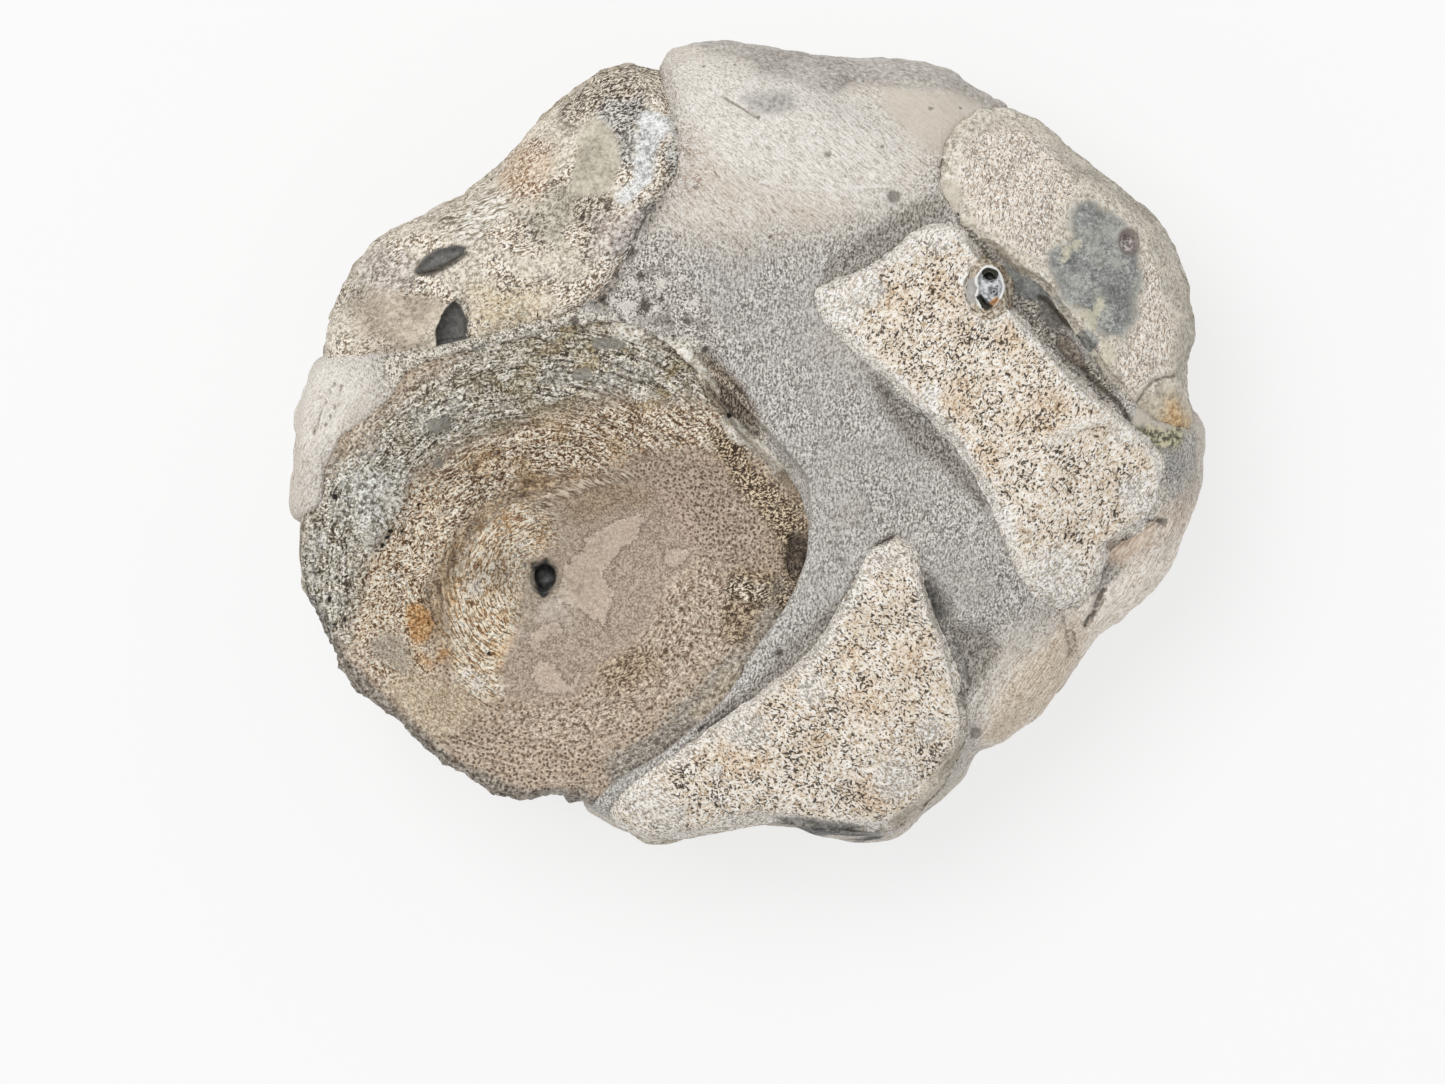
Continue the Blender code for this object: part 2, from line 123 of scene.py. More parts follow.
STONE_RUNNING_ZONES = {  # outlines of finishes that run on down the flanks
    "darker_back_edge": [
        [
            (-4, 26.8), (0.7, 27.8), (9.5, 26.2), (17.2, 23.8), (18, 19), (14.3, 20.3), (11.9, 21.3),
            (9.2, 21.5), (6.8, 21.5), (5.2, 20.8), (4, 21.4), (2.5, 21.9), (0.8, 22.1), (0, 22.9),
            (-1.4, 23.5), (-2.9, 23.7)
        ],
    ],
    "polished": [
        [
            (8, 21.5), (12.8, 21.3), (16.5, 20.6), (14.3, 19.4), (12.8, 18.5), (11.6, 17),
            (10.7, 17.6), (9.5, 18.5), (8.3, 20)
        ],
    ],
    "front_flank": [
        [
            (0.7, -22.6), (3.1, -23.2), (6.2, -23.3), (8.6, -24.4), (8, -27.3), (1.9, -27.3),
            (0.1, -23.8)
        ],
    ],
    "grey_patch": [
        [
            (-2, 23), (2.5, 22.4), (7, 20.6), (9.6, 18.4), (9, 16.4), (5, 15.8), (0.5, 16.2),
            (-1.8, 18), (-3.2, 20.5)
        ],
    ],
    "pale": [
        [
            (-4.8, 23.3), (-2.9, 23), (-0.5, 22.1), (2.5, 20.6), (6.2, 19.1), (8.3, 18.2),
            (9.2, 15.1), (8, 13.6), (3.1, 15.1), (-0.5, 16.3), (-2.9, 17.6), (-4.4, 19.4)
        ],
        [
            (-26, 5.5), (-24.4, 5.8), (-22.7, 5.4), (-21.9, 4.6), (-22.7, 3.4), (-23.9, 2.5),
            (-24.7, 0.9), (-25.3, -0.7), (-26.1, -1.2), (-26.8, 0), (-27.1, 2.5)
        ],
    ],
    "bright": [  # bare cream shoulder at the front right
        [
            (27.1, -3.6), (26, -3.9), (24.9, -4.2), (23.7, -4.8), (22.5, -6.3), (21.6, -7.5),
            (20.7, -8.7), (19.8, -9.6), (19.3, -11), (18.2, -12.4), (16.1, -13.7), (14.6, -15.7),
            (14, -18.1), (15.2, -19.9), (18.8, -16.6), (22.8, -13), (25.8, -9), (27.6, -5.4)
        ],
    ],
    "warm": [  # its warmer upper half
        [
            (26.8, -3), (25.5, -3.6), (24.3, -4.3), (23, -4.9), (21.6, -6), (21.3, -7.3),
            (22.3, -7.7), (23.7, -7.2), (24.9, -6.3), (26.1, -5.4), (26.9, -4.3)
        ],
    ],
    "warm_band": [  # the smooth warm band down its outer edge
        [
            (14.3, -17.9), (14.9, -16.4), (15.3, -15.1), (16.1, -14), (17, -13), (18.1, -12.2),
            (19.1, -11.2), (19.9, -10.4), (20.4, -12.1), (20.2, -13.5), (19.3, -15.1), (18.1, -16.4),
            (16.5, -17.6), (15.2, -18.5)
        ],
    ],
}
STONE_HOLLOWS = [  # worn away beside or between the bones, and painted darker as shade: outline, depth
    ([  # split front
        (7.2, 4.4), (8.6, 3.9), (10.7, 2.3), (12.2, 0.5), (13.4, -1.1), (14.3, -2.5), (15, -3.9),
        (14.3, -4.2), (13.1, -3), (11.6, -1.5), (10.1, -0.6), (8.9, 0.9), (7.8, 2.6)
    ], 0.75),
    ([  # split back
        (12.2, 14.5), (12.1, 12.6), (10.7, 12.4), (9.5, 11.4), (8, 10.3), (5.9, 9.7), (4.3, 9.1),
        (4.9, 10.8), (6.8, 12.1), (8.9, 13.6), (11, 14.8)
    ], 0.4),
    ([  # wedge right
        (9.7, -7.8), (10.9, -8.1), (12.1, -9.6), (12.5, -11.1), (14.6, -11.6), (15.4, -12.7),
        (14.3, -14.5), (13.1, -15.7), (12.9, -17), (12.2, -17), (12.1, -15.1), (11.6, -12.7),
        (10.9, -11.1), (10.3, -9.6)
    ], 0.8),
    ([  # wedge left
        (5.9, -9.6), (6.2, -10.2), (3.1, -13.6), (-0.2, -16.4), (-2.9, -17.8), (-3.5, -17.8),
        (-1.7, -16), (-0.2, -15.4), (2.5, -12.4), (4.9, -10.2)
    ], 0.5),
    (STONE_ZONES["disc_right"], 0.9),
]
STONE_FURROW = [  # worn furrow between the split and the back right centrum
    (11.7, 15.4), (12.5, 14.2), (13.5, 13), (14.3, 12.1), (15.2, 10.8), (16.5, 9.7), (18.1, 8.5),
    (19, 7), (19.9, 5.5), (21.6, 4), (22.8, 2.1), (23.4, 0.6), (22.2, 0.9), (20.4, 2.9), (18.4, 5),
    (17, 6.4), (15.8, 7.8), (15.2, 9.1), (14.9, 10.3), (13.9, 11.4), (12.8, 12.8), (12, 14.2)
]
STONE_SHADED_CLEFT = [  # cleft along the wedge centrum's right side, painted near black as shade
    (9.9, -8), (10.9, -8.4), (11.9, -10.2), (12, -12), (12.9, -14.6), (13.2, -17), (12.2, -16.8),
    (12, -14.6), (11.4, -12.4), (10.7, -11), (10.2, -9.6)
]
STONE_RIGHT_SHOULDER = [  # smooth grey shoulder at the right end
    (23.7, 0.9), (25.2, 0), (26.7, -0.6), (27.3, -2.4), (25.5, -3), (24.6, -1.8), (24, -0.6)
]
STONE_CAVITIES = [  # x, y, radius, depth of holes in the back corner and the furrow, painted near black as shade
    (-1.2, 2, 0.42, 0.3), (-0.7, 1.6, 0.5, 0.4), (-0.1, 1.1, 0.52, 0.4), (0.4, 0.5, 0.4, 0.3),
    (-8, 10.1, 0.42, 0.4), (-8.5, 9.3, 0.3, 0.3), (-9, 8.7, 0.36, 0.35), (-9.6, 9.4, 0.42, 0.25),
    (-7.4, 11.5, 0.75, 0.35), (-6.5, 9.9, 0.4, 0.3), (-6.2, 8.1, 0.55, 0.35), (-7.3, 5.6, 0.1, 0.1),
    (-4.5, 6.2, 0.24, 0.3), (-2.6, 5.5, 0.3, 0.25), (-6.4, 6, 0.14, 0.3), (-10.5, 7.2, 0.4, 0.2),
    (20.8, 3.8, 0.36, 0.3), (-4.8, 7.2, 0.25, 0.2), (-3.7, 7.2, 0.3, 0.2), (-0.5, -13.9, 0.34, 0.2),
    (-1.9, -15.6, 0.34, 0.2), (-2.7, -16.2, 0.34, 0.2), (1.9, -12.8, 0.34, 0.2),
    (-5.3, 8.5, 0.25, 0.2), (24.9, -4.9, 0.3, 0.15), (21.6, -7.4, 0.3, 0.3)
]
STONE_CREVICES = [  # thin gaps beside the bones, painted near black as shade
    [(0.2, -15.8), (-0.8, -16.4), (-1.9, -17), (-2.9, -17.4)],
    [(-6.2, -19.1), (-7, -19.6), (-7.7, -20)],
    [(-8.6, -20.3), (-9.3, -20.9), (-9.9, -21.3)],
    [(-1.8, 2.5), (-1, 1.7), (-0.3, 1), (0.5, 0.3)],
    [(17.6, 8.7), (18.1, 8.5), (18.7, 7.9), (19.2, 7.2), (19.7, 6.8)],
    [(20.2, 4.5), (20.8, 3.8), (21.5, 3.1), (22.3, 2.5), (22.8, 1.7), (23.1, 0.8)],
    [(21.6, -9), (21.3, -9.5), (21.1, -10)],
    [(21, -10.4), (20.7, -10.8), (20.5, -11.2)],
]
STONE_CREAM_CRUST = [  # cream strands along the flat centrum's back right edge
    [(-8, 6.4), (-6.5, 6.1), (-5.4, 6), (-4.6, 5.5), (-3.5, 4.8), (-2.5, 3.8), (-2.1, 2.9)],
    [(-1.4, 1.1), (-0.8, 0.4), (-0.1, 0), (0.5, -0.4), (1.1, -0.9), (1.6, -1.7)],
]
STONE_PITS = [  # x, y, radius, depth of small round pits in the skin
    (8.8, 14.7, 0.42, 0.3), (4.8, 17.3, 0.22, 0.2), (5.9, 16, 0.14, 0.2), (-3.1, 15.3, 0.2, 0.15),
    (13.8, -17.7, 0.4, 0.4), (25.2, -4.9, 0.28, 0.25), (15.3, -17.3, 0.15, 0.15),
    (11.1, 20.1, 0.16, 0.15)
]
STONE_SCRATCH = [  # fine pale scratch across the back
    (0.7, 15.6), (2.5, 15.3), (4.9, 15.1), (6.9, 15.3), (8.6, 15.4)
]
STONE_NOTCH = [  # dark notch along the back left centrum's edge
    (-5.9, 23.2), (-5.3, 20.9), (-5, 18.8), (-5.1, 16.6), (-5.6, 14.8), (-6.5, 13), (-7.7, 10.9),
    (-9, 8.5)
]
STONE_CRACKS = [  # hair cracks in the skin
    [(18.8, -9.8), (19.2, -11), (19.4, -12.2), (19.8, -13.1)],
    [(21.6, -9.6), (21.2, -10.3), (20.6, -11.2)],
    [(19.7, -11.4), (20, -12.7), (20.3, -13.4)],
    [(-1.7, 20.9), (-0.4, 20.1), (0.7, 19.4)],
    [(-25, 3.6), (-25.8, 1.8), (-26.3, 0.4)],
    [(-24.6, 3.4), (-25, 2), (-25.6, 0.9)],
]


def fine_copy(node, name, grain):
    """The CAD solid of a node, merged, as a fine even mesh that can be carved."""
    solid = bmesh.new()
    solid.from_mesh(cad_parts[node].data)
    bmesh.ops.remove_doubles(solid, verts=solid.verts, dist=1e-7)
    mesh = bpy.data.meshes.new(name)
    solid.to_mesh(mesh)
    solid.free()
    mesh.materials.clear()
    piece = bpy.data.objects.new(name, mesh)
    bpy.context.scene.collection.objects.link(piece)
    remesh = piece.modifiers.new("even_cells", "REMESH")
    remesh.mode = "VOXEL"
    remesh.voxel_size = grain * MM
    bake_modifiers(piece)
    return piece


def bake_modifiers(piece):
    """Makes a piece's live modifiers part of its mesh."""
    shape = bpy.data.meshes.new_from_object(
        piece.evaluated_get(bpy.context.evaluated_depsgraph_get())
    )
    piece.modifiers.clear()
    piece.vertex_groups.clear()
    old, piece.data = piece.data, shape
    bpy.data.meshes.remove(old)
    shape.name = piece.name


def evened(piece, rounds, chosen=None, axes="XYZ"):
    """Wears a piece smooth, all over or only at its chosen vertices."""
    wear = piece.modifiers.new("wear", "SMOOTH")
    wear.factor = 0.5
    wear.iterations = rounds
    wear.use_x, wear.use_y, wear.use_z = ("X" in axes), ("Y" in axes), ("Z" in axes)
    if chosen is not None:
        piece.vertex_groups.new(name="worn").add(np.flatnonzero(chosen).tolist(), 1.0, "REPLACE")
        wear.vertex_group = "worn"
    bake_modifiers(piece)


def points_of(piece):
    """Every vertex's place, in millimetres."""
    places = np.empty(len(piece.data.vertices) * 3)
    piece.data.vertices.foreach_get("co", places)
    return places.reshape(-1, 3) / MM


def normals_of(piece):
    """The way the surface faces at every vertex."""
    normals = np.empty(len(piece.data.vertices) * 3)
    piece.data.vertex_normals.foreach_get("vector", normals)
    return normals.reshape(-1, 3)


def placed(piece, places):
    """Puts every vertex at its new place, given in millimetres."""
    piece.data.vertices.foreach_set("co", (places * MM).ravel())
    piece.data.update()


def carved(piece, depth):
    """Moves every vertex in by its depth in millimetres, or out where that is negative."""
    placed(piece, points_of(piece) - normals_of(piece) * depth[:, None])


def lumps(places, size, octaves=3, seed=0.0):
    """Fractal noise from about -1 to 1 at every place."""
    shift = Vector((seed, -seed, seed))
    return np.array([
        noise.fractal(Vector(p) / size + shift, 1.0, 2.0, octaves) for p in places
    ])


def inside(places, outline):
    """How far each place is inside an outline seen from above; less than 0 is outside."""
    flat = places[:, :2]
    nearest = np.full(len(flat), 1e9)
    crossings = np.zeros(len(flat), bool)
    corners = np.array(outline)
    for a, b in zip(corners, np.roll(corners, -1, axis=0)):
        nearest = np.minimum(nearest, from_line(flat, a, b))
        spans = (a[1] > flat[:, 1]) != (b[1] > flat[:, 1])
        at = a[0] + (flat[:, 1] - a[1]) * (b[0] - a[0]) / (b[1] - a[1] or 1e-9)
        crossings ^= spans & (flat[:, 0] < at)
    return np.where(crossings, nearest, -nearest)


def inside_any(places, outlines):
    """How far each place is inside the nearest of some outlines."""
    return np.max([inside(places, outline) for outline in outlines], axis=0)


def from_line(flat, a, b):
    """Distance of places on the plan from the line between two points."""
    along = np.clip(((flat - a) @ (b - a)) / ((b - a) @ (b - a)), 0, 1)
    return np.linalg.norm(flat - a - along[:, None] * (b - a), axis=1)


def from_path(places, path):
    """Distance on the plan from a path."""
    corners = np.array(path)
    return np.min([from_line(places[:, :2], a, b) for a, b in zip(corners, corners[1:])], axis=0)


def from_paths(places, paths):
    """Distance on the plan from the nearest of some paths."""
    return np.min([from_path(places, path) for path in paths], axis=0)


def ease(values, low, high):
    """0 below low and 1 above high, with a smooth rise between."""
    share = np.clip((values - low) / (high - low), 0, 1)
    return share * share * (3 - 2 * share)


def on_face(places, facing, tilted=0.25, level=0.7, high=15):
    """1 on the nodule's worn upper face and 0 on its flanks, from the slope and the height."""
    return ease(facing[:, 2], tilted, level) * ease(places[:, 2], 12, high)


def dab(places, x, y, radius):
    """1 at a point on the plan, falling to 0 a little past the radius."""
    far = np.hypot(places[:, 0] - x, places[:, 1] - y)
    return np.exp(-((far / radius) ** 2))


def dabs(places, spots):
    """The highest of many dabs, each given by its x, y and radius."""
    return np.max([dab(places, *spot[:3]) for spot in spots], axis=0)


def mark(piece, name, values):
    """Keeps a number at every vertex, which the piece's material reads."""
    layer = piece.data.attributes.new(name, "FLOAT", "POINT")
    layer.data.foreach_set("value", np.clip(values, -4, 4).astype(np.float32))


def tone(red, green, blue):
    """A colour given as it looks, from 0 to 255, as Blender's linear colour."""
    return (*(((c / 255 + 0.055) / 1.055) ** 2.4 for c in (red, green, blue)), 1)


class Shade:
    """A socket of a material, so that sums of patterns read as plain expressions."""

    def __init__(self, socket):
        self.socket = socket

    def node(self, kind, settings=None, inputs=None, output=0):
        """Any node: its settings, then its sockets' values or links. Gives one of its outputs."""
        made = self.socket.id_data.nodes.new(kind)
        for key, value in (settings or {}).items():
            setattr(made, key, value)
        for key, value in (inputs or {}).items():
            if isinstance(value, Shade):
                made.id_data.links.new(value.socket, made.inputs[key])
            else:
                made.inputs[key].default_value = value
        return Shade(made.outputs[output])

    def maths(self, operation, a, b):
        """A Math node, or a Vector Math node where either side is a vector or a colour."""
        kinds = {t.socket.type for t in (a, b) if isinstance(t, Shade)}
        if kinds == {"VALUE"}:
            return self.node("ShaderNodeMath", {"operation": operation}, {0: a, 1: b})
        a, b = ((t, t, t) if isinstance(t, (int, float)) else t for t in (a, b))
        return self.node("ShaderNodeVectorMath", {"operation": operation}, {0: a, 1: b})

    def __add__(self, other):
        return self.maths("ADD", self, other)

    def __sub__(self, other):
        return self.maths("SUBTRACT", self, other)

    def __rsub__(self, other):
        return self.maths("SUBTRACT", other, self)

    def __mul__(self, other):
        return self.maths("MULTIPLY", self, other)

    __radd__ = __add__
    __rmul__ = __mul__

    def larger(self, other):
        return self.maths("MAXIMUM", self, other)

    def zone(self, name):
        """A number that the mesh keeps at its vertices."""
        return self.node("ShaderNodeAttribute", {"attribute_name": name}, output=2)

    def over(self, name, ragged, soft, share=1.0):
        """How far a zone covers the surface, up to its share, with a ragged edge this many mm soft."""
        return (self.zone(name) + ragged).step(-soft, soft) * share

    def step(self, low, high):
        """0 below low and 1 above high, smooth between. low above high turns it round."""
        return self.node(
            "ShaderNodeMapRange", {"interpolation_type": "SMOOTHSTEP"},
            {"Value": self, "From Min": low, "From Max": high}
        )

    def clouds(self, size, detail=2.0, roughness=0.5):
        """Soft noise about 0.5, with features of this size in millimetres."""
        return self.node(
            "ShaderNodeTexNoise", None,
            {"Vector": self, "Scale": 1 / size, "Detail": detail, "Roughness": roughness}
        )

    def drifting(self, size, reach):
        """The place moved about by up to half the reach, to bend a pattern."""
        drift = self.node(
            "ShaderNodeTexNoise", None, {"Vector": self, "Scale": 1 / size, "Detail": 2.0}, 1
        )
        drift = drift.node("ShaderNodeSeparateColor", None, {0: drift}).node(
            "ShaderNodeVectorMath", {"operation": "SUBTRACT"}, {0: drift, 1: (0.5, 0.5, 0.5)}
        )
        return self + drift * reach

    def turned(self, degrees, along, across):
        """The place in a frame turned about Z and stretched along its first axis."""
        return self.node(
            "ShaderNodeMapping", {"vector_type": "TEXTURE"},
            {"Vector": self, "Rotation": (0, 0, math.radians(degrees)),
             "Scale": (along, across, across)}
        )

    def cells(self, size, flat=False):
        """Distance to the nearest of many scattered points, in cells. Flat keeps them to the plan."""
        return self.node(
            "ShaderNodeTexVoronoi", {"voronoi_dimensions": "2D" if flat else "3D"},
            {"Vector": self, "Scale": 1 / size}, "Distance"
        )

    def ramp(self, dark, middle, light, spread=0.09):
        """A colour that is middle where this noise is 0.5, and dark and light where it is off."""
        shade = self.step(0.5 - spread, 0.5).paint(dark, middle)
        return self.step(0.5, 0.5 + spread).paint(shade, light)

    def paint(self, under, over):
        """A colour that is under where this mask is 0 and over where it is 1."""
        under, over = (tone(*t) if isinstance(t, tuple) else t for t in (under, over))
        return self.node("ShaderNodeMix", {"data_type": "RGBA"}, {0: self, 6: under, 7: over}, 2)


def strokes(place, degrees, long, thin, bend=0.5):
    """Noise about 0.5 in short strokes along this angle, sizes and bend in millimetres."""
    return place.drifting(2.2, bend).turned(degrees, long, thin).clouds(1.0, 2.0, 0.65)


def coated(colour, *coats):
    """Paints coats over a colour, one after another. Each is how far it covers and its colour, or
    how far it covers, a pattern, and the tones of that pattern's ramp."""
    for cover, over, *ramp in coats:
        colour = cover.paint(colour, over.ramp(*ramp) if ramp else over)
    return colour


def finish(name):
    """A new material of this name, its shader, and the place on the piece in millimetres."""
    made = bpy.data.materials.new(name)
    made.use_nodes = True
    shader = made.node_tree.nodes["Principled BSDF"]
    place = Shade(made.node_tree.nodes.new("ShaderNodeTexCoord").outputs["Object"]) * (1 / MM)
    return made, shader, place


def dress(piece, made, shader, colour, roughness, height):
    """Feeds a material's colour, roughness and relief in millimetres, and puts it on a piece."""
    links = made.node_tree.links
    links.new(colour.socket, shader.inputs["Base Color"])
    links.new(roughness.socket, shader.inputs["Roughness"])
    bump = height.node("ShaderNodeBump", None, {"Height": height, "Distance": MM})
    links.new(bump.socket, shader.inputs["Normal"])
    piece.data.materials.clear()
    piece.data.materials.append(made)
    piece.data.shade_smooth()


def tree_of(piece):
    """A piece's faces, in millimetres, for finding the nearest one."""
    return BVHTree.FromPolygons(
        [tuple(p) for p in points_of(piece)], [tuple(f.vertices) for f in piece.data.polygons]
    )


def solid_trees(*nodes):
    """The CAD solids of these nodes, in millimetres, for finding the nearest face."""
    return [
        BVHTree.FromPolygons(
            [v.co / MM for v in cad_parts[node].data.vertices],
            [tuple(f.vertices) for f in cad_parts[node].data.polygons],
        )
        for node in nodes
    ]


def far_from(places, trees, reach):
    """Distance of every place from the nearest of some faces, up to this reach."""
    far = np.full(len(places), float(reach))
    for i, p in enumerate(places):
        for tree in trees:
            hit = tree.find_nearest(p, far[i])
            if hit[0] is not None:
                far[i] = min(far[i], hit[3])
    return far


stone = fine_copy("stone_matrix", "stone", STONE_GRAIN)
evened(stone, 6)
places, facing = points_of(stone), normals_of(stone)
up = places[:, 2]
socket = far_from(places, solid_trees(*BONES), 1.2)
evened(stone, 60, (facing[:, 2] > 0.8) & (up > 14) & (socket > 0.75), "Z")  # the worn face
evened(stone, 40, (facing[:, 2] < 0.75) & (up > 0.6) & (socket > 1.1))  # the flanks

places, facing = points_of(stone), normals_of(stone)
up = places[:, 2]
top = on_face(places, facing)
flank = ease(up, 17.5, 13.5)
area = {name: inside(places, outline) for name, outline in STONE_ZONES.items()}
furrow = inside(places, STONE_FURROW)
# unevenness all over, then lumps, faint layers and pocks on the flanks
depth = 0.1 * lumps(places, 4.0) + 0.05 * lumps(places, 1.2, seed=3)
depth += flank * (0.4 * lumps(places, 7.0, seed=7) + 0.14 * lumps(places, 2.2, seed=8))
depth += 0.16 * flank * lumps(places * (0.3, 0.3, 1.7), 1.5, 3, seed=29)
pocked = lumps(places, 0.9, 2, seed=26) - 0.5 - 0.3 * lumps(places, 5.0, 2, seed=27)
depth += 0.8 * flank * np.clip(pocked, 0, 0.4)
# hollows, the notch, the scratch and round pits in the worn face
wavy = 0.15 * lumps(places, 0.8, seed=1)
for outline, deep in STONE_HOLLOWS:
    depth += deep * (ease(inside(places, outline) + wavy, -0.5, 0.7) * top)
notch = from_path(places, STONE_NOTCH) + 0.3 * lumps(places, 0.7, seed=5)
depth += 0.5 * ease(notch, 0.9, 0.1) * top
depth -= 0.1 * ease(from_path(places, STONE_SCRATCH), 0.2, 0.05) * top
for x, y, radius, deep in STONE_PITS:
    depth += deep * dab(places, x, y, radius) * top
# rugged stone, cavities and crevices where it has crumbled
rugged = np.max([furrow, area["back_corner"], area["crusted"], area["disc_right"]], axis=0)
depth += 0.3 * ease(rugged, -0.4, 0.5) * lumps(places, 0.9, 3, seed=17) * top
depth += 0.25 * ease(furrow, -0.3, 0.3) * lumps(places, 0.5, 2, seed=33) * top
crumbly = 1 + 0.5 * lumps(places, 0.4, seed=23)
for x, y, radius, deep in STONE_CAVITIES:
    depth += deep * dab(places, x, y, radius) * crumbly * top
crevices = from_paths(places, STONE_CREVICES) + 0.1 * lumps(places, 0.5, seed=24)
depth += 0.25 * ease(crevices, 0.3, 0.05) * top
# slate, the shell's cast, the step, the facet, lime crust and hair cracks
depth -= 0.3 * ease(np.maximum(area["slate"], area["dark_slate"]), -0.1, 0.6) * top
depth += 0.35 * ease(area["shell"], -0.05, 0.4) * top
depth += 0.35 * ease(area["dark_step"], -0.2, 0.5)
depth += 0.3 * ease(area["facet"], -0.3, 0.7)
depth -= 0.15 * ease(from_paths(places, STONE_CREAM_CRUST), 0.5, 0.2) * top
depth += 0.15 * ease(from_paths(places, STONE_CRACKS), 0.25, 0.05) * ease(up, 10, 12)
# the flat base is only ever hollowed, so that the nodule stands on it
base = ease(up, 0.6, 0.05)
depth += (np.maximum(depth, 0) + 0.35 * np.maximum(lumps(places, 3.5, seed=30), 0) - depth) * base
carved(stone, depth)
mark(stone, "pock", flank * ease(pocked, 0.0, 0.15))
# the sockets' walls get fewer faces, because the bones hide them
hidden = (socket < 0.5) & (up < 15.5)
stone.vertex_groups.new(name="hidden").add(np.flatnonzero(hidden).tolist(), 1.0, "REPLACE")
thin = stone.modifiers.new("thin_sockets", "DECIMATE")
thin.vertex_group = "hidden"
thin.ratio = STONE_KEPT
bake_modifiers(stone)
stone_tree = tree_of(stone)

places, facing = points_of(stone), normals_of(stone)
up = places[:, 2]
top = on_face(places, facing)
area = {name: inside(places, outline) for name, outline in STONE_ZONES.items()}
shallow = 1.2 * lumps(places, 2.6, seed=25)
high = np.minimum((up - 9.0 + shallow) * 1.2, 0)
for name, distance in area.items():
    mark(stone, name, distance + high)
fading = np.minimum((up - 10.8 + 2.2 * lumps(places, 3.5, seed=63)) * 0.7, 0)
swayed = places.copy()
for axis in (0, 1):
    swayed[:, axis] += 2.4 * lumps(places, 4.0, seed=61 + axis) * ease(up, 14.0, 10.5)
for name, outlines in STONE_RUNNING_ZONES.items():
    mark(stone, name, inside_any(swayed, outlines) + fading)
skin = inside_any(places, STONE_SKIN) + high
mark(stone, "skin", np.maximum(skin, 3 * ease(up, 14.5, 12) - 1.5))
mark(stone, "furrow", inside(places, STONE_FURROW) * top - 2 * (1 - top))
mark(stone, "cleft_shade", inside(places, STONE_SHADED_CLEFT) - 3 * (1 - top))
mark(stone, "right_shoulder", inside(places, STONE_RIGHT_SHOULDER) - 3 * (1 - top))
hollows = [inside(places, outline) for outline, _ in STONE_HOLLOWS]
mark(stone, "hollow", ease(np.max(hollows, axis=0), -0.6, 0.7) * top)
for name, paths in (("notch", [STONE_NOTCH]), ("crevice", STONE_CREVICES),
                    ("cream_crust", STONE_CREAM_CRUST), ("scratch", [STONE_SCRATCH]),
                    ("crack", STONE_CRACKS)):
    mark(stone, name, 1 - from_paths(places, paths) + high)
mark(stone, "cavity", dabs(places, STONE_CAVITIES) + high)
mark(stone, "pit", dabs(places, STONE_PITS) * top)
mark(stone, "flank", ease(up + shallow, 10.5, 8.0))

made, shader, place = finish("weathered_stone")
blotch = place.clouds(3.2, 3.0)
speck = place.clouds(0.3, 3.0, 0.7)
grit = place.clouds(0.12, 2.0)
ragged = (blotch - 0.5) * 2.2 + (speck - 0.5) * 1.2
layers = (place * (0.16, 0.16, 1.3)).clouds(1.0, 4.0, 0.6)
upright = strokes(place, 84, 0.24, 0.12)
falling = strokes(place, -42, 0.7, 0.11)
rising = strokes(place, 57, 0.7, 0.11)
grain = upright * 0.6 + grit * 0.4
grey = coated(
    grain.ramp((92, 88, 83), (172, 168, 162), (226, 223, 218), 0.085),
    (blotch.step(0.4, 0.6) * 0.3, (150, 152, 153)),
    (speck.step(0.42, 0.3) * 0.5, (98, 94, 90)),
)
back = place.node("ShaderNodeSeparateXYZ", None, {0: place}, 1).step(0, 6)
fibre = back * falling + (1 - back) * rising
woven = fibre * 0.6 + grit * 0.4
cream = coated(
    woven.ramp((176, 162, 147), (211, 203, 192), (233, 228, 220), 0.12),
    (blotch.step(0.5, 0.7) * 0.35, (202, 188, 172)),
    (fibre.step(0.36, 0.26), (140, 126, 112)),
    (place.over("grey_patch", ragged * 1.2, 1.6, 0.55), fibre * 0.5 + grit * 0.5,
     (160, 158, 154), (206, 204, 199), (228, 226, 222), 0.12),
    (place.over("pale", ragged * 0.7, 0.9, 0.8), woven,
     (190, 181, 169), (225, 219, 210), (244, 241, 235), 0.11),
    (place.over("bright", ragged * 0.5, 0.6, 0.85), woven,
     (190, 176, 158), (238, 228, 214), (254, 249, 241), 0.09),
    (place.over("warm", ragged * 0.8, 0.8, 0.75), fibre * 0.6 + speck * 0.4,
     (166, 140, 118), (216, 195, 174), (244, 231, 216), 0.09),
)
skin = (place.zone("skin") + ragged * 1.3).step(-2.8, 2.2)
between = skin * (1 - skin) * 4  # 1 where the skin is half worn through
corner = place.over("back_corner", ragged, 0.7)
clotted = place.clouds(1.1, 3.0, 0.6)
polished = place.over("polished", ragged * 0.3, 0.5)
# darker and smoother along the back edge, less so down the flank
darker_back = place.over("darker_back_edge", ragged * 0.5, 0.4) * (1 - place.zone("flank") * 0.7)
crossed = strokes(place, 20, 0.3, 0.14)
mixed = speck * 0.5 + blotch * 0.5
shell = place.over("shell", (speck - 0.5) * 0.3, 0.08)
dashes = place.over("dashes", ragged * 0.6, 0.8)
crust = (place.zone("cream_crust") + ragged * 0.25).step(0.5, 0.75)
flank = place.zone("flank")
drift = place.clouds(6.0, 4.0, 0.6)
# painted shade: the cavities and crevices are darkened near black
hole_and_gap_shade = (place.zone("cavity") + (speck - 0.5) * 1.1).step(0.4, 0.75).larger(
    (place.zone("crevice") + (speck - 0.5) * 0.35).step(0.74, 0.92)
)
dots = place.cells(1.7).step(0.07, 0.045)
